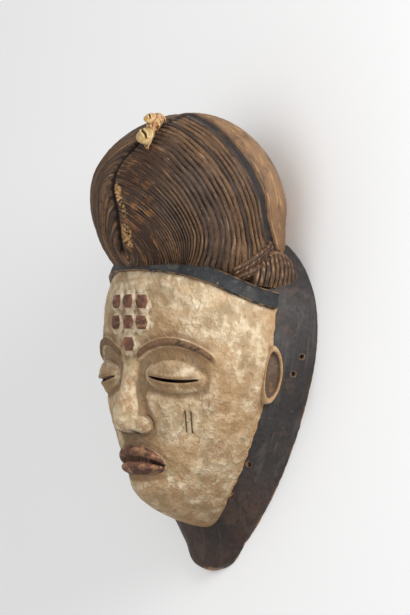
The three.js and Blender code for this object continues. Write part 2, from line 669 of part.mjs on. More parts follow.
function mesh(name, made, colour, roughness) {
  const { vertProperties, triVerts } = made.getMesh();
  const geometry = new THREE.BufferGeometry();
  geometry.setAttribute('position', new THREE.BufferAttribute(vertProperties, 3));
  geometry.setIndex(new THREE.BufferAttribute(triVerts, 1));
  geometry.computeVertexNormals();
  const look = { color: colour, roughness, metalness: 0, flatShading: true };
  const made3d = new THREE.Mesh(geometry, new THREE.MeshStandardMaterial(look));
  made3d.name = name;
  return made3d;
}

const punuMask = new THREE.Group();
punuMask.add(mesh('mask', mask(), 0xc9b897, 0.8));
punuMask.add(mesh('cowrie_lower', cowrieLower(), 0xd9b877, 0.35));
punuMask.add(mesh('cowrie_upper', cowrieUpper(), 0xdcc79c, 0.4));
punuMask.add(mesh('fibre_tie', fibreTie(), 0xb98f55, 0.9));

// The origin is on the rim plane, below the middle of the whole part
const bounds = new THREE.Box3().setFromObject(punuMask);
const middle = bounds.getCenter(point(0, 0, 0));
punuMask.position.set(-middle.x, -middle.y, 0);

export default punuMask;
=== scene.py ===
"""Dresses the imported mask: kaolin face, grooved coiffure, dark collar, shells and fibre tie.

Lengths are millimetres, and the mesh helpers turn them into metres. Heights along Y are counted from the
level of the ears' tops, as the carving is worked out, and SHIFT_Y moves them to the frame's own origin.
+X is the mask's own left, +Y runs from the chin to the crown, +Z is the way the face looks.
"""

import bpy
import numpy as np
from bpy.props import FloatProperty, FloatVectorProperty, IntProperty, PointerProperty
from mathutils import Matrix, Vector


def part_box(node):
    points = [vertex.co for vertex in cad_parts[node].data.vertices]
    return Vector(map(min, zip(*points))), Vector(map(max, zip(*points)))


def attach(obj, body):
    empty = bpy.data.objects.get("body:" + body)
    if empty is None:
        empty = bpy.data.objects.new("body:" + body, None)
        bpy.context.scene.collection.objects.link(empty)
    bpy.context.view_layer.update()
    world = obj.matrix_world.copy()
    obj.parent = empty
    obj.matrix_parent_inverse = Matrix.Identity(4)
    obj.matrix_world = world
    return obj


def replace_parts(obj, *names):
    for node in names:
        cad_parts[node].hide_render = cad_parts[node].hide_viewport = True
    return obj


bl_info = {
    "name": "Carved mask",
    "version": (1, 0, 0),
    "blender": (4, 5, 0),
    "location": "3D View > Sidebar > Mask",
    "description": "Builds the carved surfaces and finishes of a wooden face mask",
    "category": "Add Mesh",
}

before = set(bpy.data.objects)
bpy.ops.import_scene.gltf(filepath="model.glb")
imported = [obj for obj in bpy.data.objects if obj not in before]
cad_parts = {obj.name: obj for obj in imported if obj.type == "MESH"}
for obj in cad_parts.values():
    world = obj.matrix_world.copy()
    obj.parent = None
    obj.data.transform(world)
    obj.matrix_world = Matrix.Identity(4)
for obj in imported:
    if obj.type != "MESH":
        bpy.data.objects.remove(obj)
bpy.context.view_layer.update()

# Hull: the hollow back of the mask, whose side walls show as a collar
HULL_HALF_WIDTH = 91
HULL_WIDEST_Y = -10
HULL_TIP_LENGTH = 163.5
HULL_TOP_RISE = 90
HULL_DEPTH = 58
HULL_POWER = 2.7
TONGUE_END_WIDENING = 6
TONGUE_END_SHARE = 0.9942  # where the rounded end of the tongue stops
WALL = 11
HOLLOW_TOP_Y = 52
HOLES = ((-14, 6.8, 8), (-96, 33, 37), (-119, 49, 40))  # level, place and tilt in degrees up from the rim
HOLE_DIAMETER = 4.2
BLIND_HOLE = (-27.5, 10.6, 10)

# Face
FACE_HALF_WIDTH = 82
FACE_WIDEST_Y = -20
FACE_CHIN_Y = -142
FACE_TOP_Y = 41
FACE_TOP_RISE = 120
FACE_FRONT_Z = 106
FOREHEAD_Y = 12
CHIN_Y = -126
FACE_PROUD = 2

# Carving of the face, on even, calm proportions
BROW_Y = -25
EYE_Y = -41
EYE_AT = 37
EYE_WIDTH = 49
EYE_HEIGHT = 25
EYE_BULGE = 6.5
SLIT_LENGTH = 38
SLIT_HEIGHT = 2.4
NOSE_BASE_Y = -83
NOSE_WIDTH = 34
NOSE_HEIGHT = 17
MOUTH_Y = -103
MOUTH_WIDTH = 48
MOUTH_GAP = 3
LIP_HEIGHT = 8
TOOTH_COUNT = 10
CHEEK_LINE_LENGTH = 17
LOZENGE_WIDTH = 12.5
LOZENGE_HEIGHT = 12
LOZENGE_RISE = 1.8
EAR_Y = EYE_Y + 10
EAR_LENGTH = 43
EAR_DEPTH = 19
EAR_RISE = 9

# Headband
BAND_HEIGHT = 13
BAND_PROUD = 3.5
BAND_DROP = 17

# Coiffure
HAIR_HALF = np.array([71.5, 67.0, 73.7])
HAIR_CENTRE_Y = 92.4
HAIR_CENTRE_Z = 61.8
HAIR_LEAN = 4.5
TOP_POWER = 1.82
HAIR_RADIUS = HAIR_HALF.mean()
BAND_GROOVE_AT = 144
BAND_GROOVE_WIDTH = 6.5
BAND_GROOVE_DEPTH = 2.2
BACK_PITCH = 3.6
BACK_GROOVE_COUNT = 8  # the solid has 5
LEFT_PITCH = 2.7  # of the long ovals on the mask's right, which the photograph shows at its left
CENTRE_GROOVE_WIDTH = 5
CENTRE_GROOVE_DEPTH = 3.2
RIBBON_WIDTH = 8
RIBBON_HALF = 0.6 * RIBBON_WIDTH  # wider than the solid's
RIBBON_RISE = 2.4
SECOND_RIBBON_RISE = 1.6  # how much higher the second one is
RIBBONS = (((88, 39), (112, 64)), ((92, 34), (121, 60)))  # from and to: degrees round the hair, and level
BUN_LENGTH = 43
BUN_HEIGHT = 28
BUN_RISE = 12
BUN_RIDGES = 11  # the solid has 9
BUN_MIDDLE_Z = 28
BUN_FOOT_Y = FACE_TOP_Y - BAND_DROP + BAND_HEIGHT / 2 + 3

# Shells and tie
COWRIE_LENGTH = 17
COWRIE_WIDTH = 12.5
COWRIE_HEIGHT = 8
SMALL_COWRIE_LENGTH = 11
SMALL_COWRIE_WIDTH = 8
SMALL_COWRIE_HEIGHT = 5
TIE_WIDTH = 7
TIE_HEIGHT = 3.6
TIE_FROM = np.array([86, 26])  # its lower end: how far above the hairline, and to the mask's left
TIE_TO = np.array([120, 8])
COWRIE_PLACE = 0.24
SMALL_COWRIE_PLACE = 0.66
SHELL_SLANT = np.radians(45)
GAP = 0.3
LOWER_FOOT = TIE_HEIGHT + 3 * GAP  # how high over the hair each shell begins
UPPER_FOOT = 2.6 * TIE_HEIGHT + 3 * GAP

# The mask lies where its own node does: the end of the tongue is its lowest place along Y
HULL_END_SHARE = 0.995
SHIFT_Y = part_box("mask")[0].y * 1000 - (HULL_WIDEST_Y - HULL_END_SHARE * HULL_TIP_LENGTH)


# Sums

def smooth(value, start, end):
    """0 before start, 1 after end, and an S-shaped rise between them."""
    t = np.clip((value - start) / (end - start), 0, 1)
    return t * t * (3 - 2 * t)


def bump(value, half):
    """1 at zero and 0 from half outwards, as a rounded bell: (1 - (value / half) squared) squared."""
    return np.clip(1 - (value / half) ** 2, 0, 1) ** 2


def through(*pairs):
    """A smooth function through (place, value) pairs: a cubic between each two, whose slope at a pair
    is that of the chord between its neighbours."""
    places, values = np.array(pairs, float).T
    before = np.r_[0, np.arange(len(places) - 1)]
    after = np.r_[np.arange(1, len(places)), len(places) - 1]
    slopes = (values[after] - values[before]) / (places[after] - places[before])

    def value(place):
        t = np.clip(place, places[0], places[-1])
        i = np.clip(np.searchsorted(places, t, side="right") - 1, 0, len(places) - 2)
        span = places[i + 1] - places[i]
        q = (t - places[i]) / span
        ends = values[i] * (1 + 2 * q) * (1 - q) ** 2 + values[i + 1] * q * q * (3 - 2 * q)
        return ends + span * (slopes[i] * q * (1 - q) ** 2 - slopes[i + 1] * q * q * (1 - q))

    return value


def waves(points, size, seed, count=16):
    """Smooth noise round zero: a sum of plane waves in random directions, each about size long."""
    rng = np.random.default_rng(seed)
    turns = rng.normal(size=(count, 3))
    turns *= (2 * np.pi / size * rng.uniform(0.6, 1.6, count) / np.linalg.norm(turns, axis=1))[:, None]
    return np.sin(points @ turns.T + rng.uniform(0, 2 * np.pi, count)).sum(-1) / np.sqrt(2 * count)


def softened(grid, reach):
    """The mean of a grid over a square of 2 * reach + 1 cells, from running sums along both directions."""
    for axis in (0, 1):
        edge = [(reach + 1, reach) if a == axis else (0, 0) for a in (0, 1)]
        total = np.cumsum(np.pad(grid, edge, mode="edge"), axis=axis)
        count = grid.shape[axis]
        ahead = np.take(total, np.arange(2 * reach + 1, 2 * reach + 1 + count), axis=axis)
        behind = np.take(total, np.arange(count), axis=axis)
        grid = (ahead - behind) / (2 * reach + 1)
    return grid


def xyz(x, y, z):
    """One array of points from three arrays or numbers."""
    return np.stack(np.broadcast_arrays(x, y, z), -1).astype(float)


# Forms of the carving, as in the solid. The tongue's end is wider and rounder here, and the ears, further
# down, stand further back than the solid's

def hull_half_width(y):
    """Half the hull's width at a level: an ellipse above the widest level, a rounded tongue below it."""
    above = np.clip((y - HULL_WIDEST_Y) / HULL_TOP_RISE, 0, 1)
    below = np.clip((HULL_WIDEST_Y - y) / HULL_TIP_LENGTH, 0, 1)
    share = np.where(y > HULL_WIDEST_Y, np.sqrt(1 - above**2), (1 - below**1.75) ** (1 / 1.55))
    rounded = np.sqrt(1 - np.clip((below - 0.963) / 0.032, 0, 1) ** 2)
    return (HULL_HALF_WIDTH * share + TONGUE_END_WIDENING * smooth(below, 0.86, 0.96)) * rounded


HULL_SHARE = through(
    (-1, 0.1), (-0.81, 0.23), (-0.67, 0.52), (-0.53, 0.73), (-0.4, 0.9), (-0.24, 1), (0.2, 1), (0.5, 0.8)
)


def hull_depth(y):
    """The hull's depth in front of the rim, shallow towards the end of the tongue."""
    return HULL_DEPTH * HULL_SHARE((y - HULL_WIDEST_Y) / HULL_TIP_LENGTH)


def on_hull(angle, y, out=0):
    """A point of the hull. Angle 0 is the rim at the mask's left, and the section is a squarish arch."""
    def squared(share):
        return np.sign(share) * np.abs(share) ** (2 / HULL_POWER)

    across = (hull_half_width(y) + out) * squared(np.cos(angle))
    return xyz(across, y, (hull_depth(y) + out) * squared(np.sin(angle)))


def face_half_width(y):
    """Half the face's width at a level: an ellipse above the widest level, a narrowing jaw below it."""
    above = np.clip((y - FACE_WIDEST_Y) / FACE_TOP_RISE, 0, 1)
    below = np.clip((FACE_WIDEST_Y - y) / (FACE_WIDEST_Y - FACE_CHIN_Y), 0, 1)
    return FACE_HALF_WIDTH * np.where(y > FACE_WIDEST_Y, np.sqrt(1 - above**2), (1 - below**1.75) ** 0.6)


def face_edge(y):
    """The height at which the edge of the face meets the hull."""
    share = np.clip(face_half_width(y) / hull_half_width(y), 0, 1)
    return hull_depth(y) * (1 - share**HULL_POWER) ** (1 / HULL_POWER)


def face_depth(y):
    """How far the face's middle stands before its edge: fullest on the forehead, rounded at the chin."""
    below = FOREHEAD_Y - y
    front = FACE_FRONT_Z - np.where(below > 0, 0.16 * below + 0.0006 * below**2, 0.003 * below**2)
    chin_swell = 3 * np.exp(-(((y - CHIN_Y) / 9) ** 2))
    under_chin = np.clip((y - FACE_CHIN_Y) / 28, 0, 1)
    return (front + chin_swell - face_edge(y)) * (1 - (1 - under_chin) ** 2.4) ** 0.5


def on_face_angle(angle, y, height=0):
    """A point of the face by its angle from the middle line: an arch, narrower towards the jaw."""
    half_width, depth = face_half_width(y) + FACE_PROUD, face_depth(y) + FACE_PROUD
    power = 1 + 0.3 * smooth(-y, -EYE_Y, -MOUTH_Y)
    arch = np.clip(np.cos(angle), 0, 1) ** power
    side, front = np.sin(angle) * depth, np.cos(angle) * half_width
    length = np.hypot(side, front)
    x = half_width * np.sin(angle) + height * side / length
    return xyz(x, y, face_edge(y) + depth * arch + height * front / length)


def face_turn(y):
    """Millimetres across the face for each radian of its angle."""
    return 0.5 * (face_half_width(y) + face_depth(y))


def hairline(angle):
    """The level of the hairline, which falls towards the ears."""
    return FACE_TOP_Y - BAND_DROP * np.abs(np.sin(angle)) ** 4


def hair_power(angle):
    """How square the lobe is below its middle: round at the front, nearly upright at its sides and back."""
    return 2.3 + 2.2 * smooth(np.abs(angle), np.radians(42), np.radians(110))


def hair_lean(level):
    """How far the lobe swells forwards, most a little above its middle."""
    return HAIR_LEAN * np.clip(1 - ((level - 0.3) / 0.75) ** 2, 0, 1)


def on_hair(angle, y, height=0):
    """A point of the hair by its angle round from the front and its level."""
    level = (y - HAIR_CENTRE_Y) / HAIR_HALF[1]
    power = np.where(level < 0, hair_power(angle), TOP_POWER)
    size = np.clip(1 - np.abs(level) ** power, 0, 1) ** (1 / power)
    z = HAIR_CENTRE_Z + hair_lean(level) + (HAIR_HALF[2] * size + height) * np.cos(angle)
    return xyz((HAIR_HALF[0] * size + height) * np.sin(angle), y, z)


def on_hair_direction(direction, raised=0):
    """A point of the hair in a direction from its centre, where raised is a share of the way out."""
    x, y, z = np.moveaxis(direction, -1, 0)
    power = np.where(y < 0, hair_power(np.arctan2(x, z)), TOP_POWER)
    reach = (1 + raised) * (np.hypot(x, z) ** power + np.abs(y) ** power) ** (-1 / power)
    lean = hair_lean(reach * y)
    return xyz(
        HAIR_HALF[0] * reach * x,
        HAIR_CENTRE_Y + HAIR_HALF[1] * reach * y,
        HAIR_CENTRE_Z + lean + HAIR_HALF[2] * reach * z,
    )


CORNER_LEAN = np.arcsin((HAIR_CENTRE_Y - FACE_TOP_Y - BAND_HEIGHT / 2) / HAIR_HALF[1])
CORNER = np.array([0, -np.sin(CORNER_LEAN), np.cos(CORNER_LEAN)])
UPWARD = np.array([0, np.cos(CORNER_LEAN), np.sin(CORNER_LEAN)])
LEFTWARD = np.array([1.0, 0, 0])


CENTRE_BEND = through(
    (0, 0.2), (0.44, 0.24), (0.62, 0.12), (0.75, 0.06), (1.01, 0.09), (1.27, 0.155), (3.15, 0.16)
)
PIT = np.array([12.5, 57.5, 126.5])
DRAWN_IN = through((0, 0), (30, 2), (60, 6), (90, 13), (120, 25.5), (180, 33))


def from_corner(away, turn):
    """The direction at an angle away from the middle of the hairline, turned round it from the centre
    groove. The first rings are round. The larger ones reach high up the middle and fall steeply beside
    it."""
    large = smooth(away, np.radians(25), np.radians(75)) * (1 - smooth(away, np.radians(140), np.pi))
    drawn = away - large * np.radians(DRAWN_IN(np.degrees(np.abs(turn))))
    direction = np.cos(drawn)[..., None] * CORNER + (np.sin(drawn) * np.cos(turn))[..., None] * UPWARD
    return direction + (np.sin(drawn) * np.sin(turn))[..., None] * LEFTWARD


# Meshes

def mesh_of(name, points, quads, triangles):
    """A mesh object from points in the carving's millimetres."""
    places = (points + (0, SHIFT_Y, 0)) / 1000
    mesh = bpy.data.meshes.new(name)
    loops = np.concatenate([quads.ravel(), triangles.ravel()]).astype(np.int32)
    starts = np.concatenate([np.arange(len(quads)) * 4, len(quads) * 4 + np.arange(len(triangles)) * 3])
    mesh.vertices.add(len(places))
    mesh.vertices.foreach_set("co", places.astype(np.float32).ravel())
    mesh.loops.add(len(loops))
    mesh.loops.foreach_set("vertex_index", loops)
    mesh.polygons.add(len(starts))
    mesh.polygons.foreach_set("loop_start", starts.astype(np.int32))
    mesh.update(calc_edges=True)
    made = bpy.data.objects.new(name, mesh)
    bpy.context.scene.collection.objects.link(made)
    return made


def skin_faces(rows, columns):
    """Quads round every two neighbouring rings, and fans of triangles to a middle point at each end."""
    row, column = np.meshgrid(np.arange(rows - 1), np.arange(columns), indexing="ij")
    a, b = row * columns + column, row * columns + (column + 1) % columns
    quads = np.stack([a, b, b + columns, a + columns], -1).reshape(-1, 4)
    here = np.arange(columns)
    after = (here + 1) % columns
    first = np.stack([after, here, np.full(columns, rows * columns)], 1)
    last = (rows - 1) * columns
    second = np.stack([last + here, last + after, np.full(columns, rows * columns + 1)], 1)
    return quads, np.concatenate([first, second])


def skin(name, parts, values=None):
    """A closed skin over rings of points, or over several such sets of rings, with its faces outwards: a
    set whose signed volume is negative is turned over. Each of values is a number for each point, kept on
    the mesh for the finishes, and the end points take their ring's mean."""
    all_points, all_quads, all_triangles, all_values = [], [], [], {}
    start = 0
    for k, rings in enumerate(parts):
        rows, columns = rings.shape[:2]
        points = np.concatenate([rings.reshape(-1, 3), [rings[0].mean(0)], [rings[-1].mean(0)]])
        quads, triangles = skin_faces(rows, columns)
        corners = np.concatenate([quads[:, [0, 1, 2]], quads[:, [0, 2, 3]], triangles])
        a, b, c = (points[corners[:, i]] for i in range(3))
        if np.einsum("ij,ij->i", a, np.cross(b, c)).sum() < 0:
            quads, triangles = quads[:, ::-1], triangles[:, ::-1]
        all_points.append(points)
        all_quads.append(quads + start)
        all_triangles.append(triangles + start)
        for key, grids in (values or {}).items():
            grid = np.broadcast_to(grids[k], (rows, columns))
            all_values.setdefault(key, []).append(np.r_[grid.ravel(), grid[0].mean(), grid[-1].mean()])
        start += len(points)
    made = mesh_of(name, *(np.concatenate(lists) for lists in (all_points, all_quads, all_triangles)))
    for key, lists in all_values.items():
        kept = made.data.attributes.new(key, "FLOAT", "POINT")
        kept.data.foreach_set("value", np.concatenate(lists).astype(np.float32))
    return made


def both_sides(parts):
    """The parts and their mirror images across the middle plane."""
    return [*parts, *(rings * (-1, 1, 1) for rings in parts)]


def cut(piece, *cutters):
    """The piece with the cutters taken away from it."""
    for cutter in cutters:
        taken = piece.modifiers.new(cutter.name, "BOOLEAN")
        taken.operation = "DIFFERENCE"
        taken.solver = "MANIFOLD"
        taken.object = cutter
    shape = bpy.data.meshes.new_from_object(piece.evaluated_get(bpy.context.evaluated_depsgraph_get()))
    piece.modifiers.clear()
    old, piece.data = piece.data, shape
    bpy.data.meshes.remove(old)
    for cutter in cutters:
        old = cutter.data
        bpy.data.objects.remove(cutter)
        bpy.data.meshes.remove(old)
    return piece


def finished(piece, material, crease=40):
    """Gives the piece its finish, smooth shading with creases over so many degrees, and its body."""
    piece.data.materials.clear()
    piece.data.materials.append(material)
    piece.data.shade_smooth()
    piece.data.set_sharp_from_angle(angle=np.radians(crease))
    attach(piece, "root")
    return piece


def level_row(*parts):
    """Levels from (start, end, count) stretches, as a column for the rings' rows."""
    return np.concatenate([np.linspace(a, b, n, endpoint=False) for a, b, n in parts])[:, None]


# Cutters

def hollow(grow=0):
    """The inside of the mask: the outside of hull and face moved in by the wall, as star-shaped arches on
    the rim. It narrows in an ellipse to its top, and carries shallow tool marks."""
    start = HULL_WIDEST_Y - 0.7 * HULL_TIP_LENGTH
    top_from = HULL_WIDEST_Y + 12
    y = level_row((start, HOLLOW_TOP_Y - 0.5, 90))
    angle = np.linspace(0, np.pi, 100)[None]
    over = np.minimum(y, top_from + 10) - WALL
    width, depth = hull_half_width(over), np.maximum(0.1, hull_depth(over))
    sideways, forwards = np.abs(np.cos(angle)) / width, np.sin(angle) / depth
    wall = (sideways**HULL_POWER + forwards**HULL_POWER) ** (-1 / HULL_POWER)
    face_width, front, edge = face_half_width(over), np.maximum(1, face_depth(over)), face_edge(over)
    a = (np.cos(angle) / np.maximum(1, face_width)) ** 2 + (np.sin(angle) / front) ** 2
    b = np.sin(angle) * edge / front**2
    inside = b**2 - a * ((edge / front) ** 2 - 1)
    arch = np.where((inside > 0) & (over > FACE_CHIN_Y + 1), (b + np.sqrt(np.maximum(0, inside))) / a, 0)
    end = np.sqrt(1 - (np.maximum(0, y - top_from) / (HOLLOW_TOP_Y - top_from)) ** 2)
    end = end * (0.7 + 0.3 * smooth(y, start, start + 10))
    reach = np.maximum(3, np.maximum(wall, arch) - WALL) * end
    points = xyz(reach * np.cos(angle), y, reach * np.sin(angle))
    marks = 0.5 * waves(points, 16, 31) + 0.25 * np.abs(np.sin(points[..., 1] / 5 + waves(points, 30, 32)))
    reach = reach + grow + marks * smooth(reach, 4, 12)
    points = xyz(reach * np.cos(angle), y, reach * np.sin(angle))
    legs = [xyz(points[:, :1, 0], y, -5), xyz(points[:, -1:, 0], y, -5)]
    return skin("hollow", [np.concatenate([legs[0], points, legs[1]], 1)])


def tube(start, end, radius, sides=16):
    """A round cutter from one point to another, a little wider at its ends where cords have worn it."""
    along = (end - start) / np.linalg.norm(end - start)
    side = np.cross((0, 1, 0), along)
    side /= np.linalg.norm(side)
    up = np.cross(along, side)
    turn = np.linspace(0, 2 * np.pi, sides, endpoint=False)[:, None]
    q = np.linspace(0, 1, 9)[:, None, None]
    return start + (end - start) * q + radius * (np.cos(turn) * side + np.sin(turn) * up) * np.ones_like(q)


def collar_holes():
    """Cutters for the round holes through both sides of the collar, and for one that ends in the wood."""
    parts = []
    for (y, angle, tilt), reach in [*((hole, 1.7) for hole in HOLES), (BLIND_HOLE, 0.45)]:
        along = np.array([np.cos(np.radians(tilt)), -0.1, np.sin(np.radians(tilt))])
        along /= np.linalg.norm(along)
        place = on_hull(np.radians(angle), np.float64(y))
        parts.append(tube(place - reach * WALL * along, place + WALL * along, HOLE_DIAMETER / 2))
    return skin("collar holes", both_sides(parts))


def slit_level(across):
    """The level of the middle of an eye slit, bowed down towards the middle of the eye."""
    q = 2 * (np.abs(across) - EYE_AT) / SLIT_LENGTH
    return EYE_Y - 0.08 * EYE_HEIGHT + 2.6 * (q**2 - 0.5)


def eye_slits():
    """Cutters for both eye slits: a long rounded outline carried from inside the hollow to the front."""
    turn = np.linspace(0, 2 * np.pi, 72, endpoint=False)[None]
    across = EYE_AT + SLIT_LENGTH / 2 * np.cos(turn)
    half = SLIT_HEIGHT / 2 * np.abs(np.sin(turn)) ** 0.7 * np.sign(np.sin(turn))
    y = slit_level(across) + half
    height = np.linspace(-2.6 * WALL, 2 * EYE_BULGE, 10)[:, None]
    rings = on_face_angle(across / face_turn(y), y + 0 * height, height)
    return skin("eye slits", both_sides([rings]))


# Relief of the face: each function gives heights and masks over places across it and levels

def brow_level(across):
    """The level of the brow line: an arch over each eye."""
    q = (np.abs(across) - EYE_AT) / (0.72 * EYE_WIDTH)
    return BROW_Y + 9 - np.where(q < 0, 17, 13) * q**2


def face_relief(across, y, plain):
    """The height over the plain face, and the masks that the finish reads."""
    side = np.abs(across)
    reach = EYE_AT + 0.72 * EYE_WIDTH
    root = 0.2 * EYE_AT
    # Brows: thin ridges that fade at their outer ends, over a shallow hollow for the eyes
    along = smooth(side, root - 2, root + 4) * smooth(-side, -reach - 1, -reach + 10)
    off_brow = y - brow_level(across)
    brow = np.clip(1 - np.abs(off_brow / 3.4) ** 2.4, 0, 1) * along
    socket = smooth(-off_brow, 1, 7) * smooth(y, EYE_Y - 18, EYE_Y - 4) * smooth(-side, -reach, -reach + 16)
    height = 2.8 * brow - 1.6 * socket * smooth(side, 4, 14)
    # Eyes: full almond domes, the upper lid a little proud of the lower one
    u, v = (side - EYE_AT) / (EYE_WIDTH / 2), (y - EYE_Y) / (EYE_HEIGHT / 2)
    dome = np.clip(1 - np.abs(u) ** 1.9 - v**2, 0, 1)
    off_slit = y - slit_level(across)
    in_slit = np.clip(1 - np.abs((side - EYE_AT) / (SLIT_LENGTH / 2 + 2)) ** 4, 0, 1)
    lid_rim = np.exp(-(((np.abs(off_slit) - 2.4) / 1.1) ** 2)) * in_slit
    height += EYE_BULGE * dome**0.62 + 0.9 * lid_rim - 0.9 * smooth(-off_slit, -0.6, 0.8) * dome**0.4
    # Nose: a straight bridge, a rounded tip and two wings
    length = BROW_Y - 6 - NOSE_BASE_Y
    t = np.clip((BROW_Y - 6 - y) / length, 0, 1)
    half = through((0, 6), (0.4, 6.6), (0.75, 9.5), (1, 9.5))(t)
    rise = through((0, 1), (0.3, 0.4 * NOSE_HEIGHT), (0.84, NOSE_HEIGHT), (1, 0.86 * NOSE_HEIGHT))(t)
    under = smooth(y, NOSE_BASE_Y - 1.6, NOSE_BASE_Y + 1.6)
    bridge = rise * np.clip(1 - np.abs(across / (1.35 * half)) ** 2.1, 0, 1) ** 0.75 * under
    bridge *= smooth(-y, -BROW_Y, -BROW_Y + 9)
    r = ((side - 0.29 * NOSE_WIDTH) / (0.22 * NOSE_WIDTH)) ** 2 + ((y - NOSE_BASE_Y - 6.6) / 7.4) ** 2
    wing = 0.56 * NOSE_HEIGHT * np.clip(1 - r, 0, 1) ** 0.5
    crease = 1.2 * np.exp(-((np.sqrt(r) - 1.04) ** 2) / 0.012) * smooth(y, NOSE_BASE_Y + 1, NOSE_BASE_Y + 6)
    nose = np.maximum(bridge, wing)
    height += nose - crease * (nose < 4)
    nostril = bump(np.hypot((side - 0.2 * NOSE_WIDTH) / 3.4, (y - NOSE_BASE_Y - 0.4) / 1.7), 1)
    height -= 3.2 * nostril
    # Lips: full, a little apart, with small teeth cut in a row between them
    q = across / (MOUTH_WIDTH / 2)
    taper = np.sqrt(np.clip(1 - q**2, 0, 1))
    middle = MOUTH_Y + 2 - 4 * q**2
    gap = 0.5 * MOUTH_GAP * taper
    upper_half = 4.3 * taper**0.8 - 0.9 * np.exp(-((across / 3.5) ** 2)) * taper
    lower_half = 4.8 * taper
    upper = (y - middle - gap - upper_half) / np.maximum(0.3, upper_half)
    lower = (y - middle + gap + lower_half) / np.maximum(0.3, lower_half)
    lip_rise = 0.85 * LIP_HEIGHT * taper**0.7
    shapes = [np.clip(1 - np.abs(v) ** 2.4, 0, 1) ** 0.55 * (taper > 0.05) for v in (upper, lower)]
    lips = np.maximum(*shapes)
    height += lip_rise * lips
    between = smooth(-np.abs(y - middle), -gap - 0.5, -gap + 0.1) * (taper > 0.2)
    tooth_width = 0.62 * MOUTH_WIDTH / TOOTH_COUNT
    teeth = np.abs(np.cos(np.pi * across / tooth_width)) ** 0.45 * smooth(-np.abs(q), -0.64, -0.56)
    height += between * (0.52 * LIP_HEIGHT * teeth - 1.4)
    philtrum = bump(across, 3) * smooth(y, MOUTH_Y + 9, MOUTH_Y + 12)
    philtrum *= smooth(-y, -NOSE_BASE_Y + 1, -NOSE_BASE_Y + 3)
    height -= 0.9 * philtrum
    # Lozenges: two rows of three low pads and one below them
    lozenge, white = np.zeros_like(height), np.zeros_like(height)
    for i, k in [(-1, 0), (0, 0), (1, 0), (-1, 1), (0, 1), (1, 1), (0, 2.05)]:
        u = 2 * (across - 1.12 * i * LOZENGE_WIDTH) / LOZENGE_WIDTH
        v = 2 * (y - FOREHEAD_Y + 1.26 * k * LOZENGE_HEIGHT) / LOZENGE_HEIGHT
        u = u + 0.1 * np.sin(3 * i + 5 * k)
        d = np.maximum(np.abs(v) / 0.95, np.abs(u) / np.clip(1.08 - 0.42 * np.abs(v), 0.2, 1.08))
        lozenge = np.maximum(lozenge, smooth(-d, -1.06, -0.7) * (1 - 0.3 * np.clip(d, 0, 1) ** 2))
        white = np.maximum(white, smooth(-d - 0.2 * waves(plain, 5, 8), -1.9, -1.1))
    height += (LOZENGE_RISE + 0.9) * lozenge
    # Two upright incised lines on each cheek
    lines = np.zeros_like(height)
    for place in (EYE_AT + 5, EYE_AT + 9):
        v = (y - EYE_Y + 31) / CHEEK_LINE_LENGTH
        fade = smooth(-np.abs(v), -0.52, -0.4)
        lines = np.maximum(lines, bump(side - place - 1.2 * v, 1.0) * fade)
    height -= 1.3 * lines
    # The hand's unevenness, shallow cracks down the grain and knife marks
    quiet = 1 - 0.7 * np.clip(lips + lozenge + brow, 0, 1)
    height += (0.34 * waves(plain, 34, 1) + 0.2 * waves(plain, 9, 2) + 0.12 * waves(plain, 4, 6)) * quiet
    grain = plain * (1.0, 0.05, 1.0)
    crack = np.exp(-((waves(grain, 9, 3, 7) / 0.018) ** 2)) * smooth(waves(plain, 30, 4), 0.75, 1.2)
    height -= 0.6 * crack * quiet
    masks = {
        "lip": np.clip(lips * 1.6, 0, 1) * (1 - 0.6 * between),
        "lozenge": smooth(lozenge, 0.35, 0.8),
        "white": white * (1 - lozenge),
        "teeth": between,
        "brow": brow,
        "dome": smooth(dome, 0.02, 0.3),
        "lid": np.clip(lid_rim + 0.9 * np.exp(-((off_slit + 3) / 4) ** 2) * in_slit * (off_slit < 2), 0, 1),
        # deep: cracks, incised lines, nostrils, the gap between the lips and the nose crease, for painted
        # shade in them
        "deep": np.clip(0.9 * crack + lines + nostril + between * (1 - 0.7 * teeth) + 0.3 * crease, 0, 1),
    }
    return height, masks


# Finishes

def nodes_of(tree):
    """A short way to add a node to a tree: its kind, its settings, and values or links for its inputs."""
    def add(kind, inputs=None, **settings):
        made = tree.nodes.new(kind)
        for key, value in settings.items():
            setattr(made, key, value)
        for key, value in (inputs or {}).items():
            if isinstance(value, bpy.types.NodeSocket):
                tree.links.new(value, made.inputs[key])
            else:
                made.inputs[key].default_value = value
        return made

    return add


def group(name, inputs, outputs):
    """An empty node group with named inputs, each with its value, and named outputs."""
    tree = bpy.data.node_groups.new(name, "ShaderNodeTree")
    kinds = {float: "NodeSocketFloat", tuple: "NodeSocketColor"}
    for key, value in inputs.items():
        kind = "NodeSocketVector" if value is None else kinds[type(value)]
        socket = tree.interface.new_socket(key, in_out="INPUT", socket_type=kind)
        if value is not None:
            socket.default_value = value
    for key, kind in outputs.items():
        tree.interface.new_socket(key, in_out="OUTPUT", socket_type=kind)
    return tree, nodes_of(tree), tree.nodes.new("NodeGroupInput"), tree.nodes.new("NodeGroupOutput")


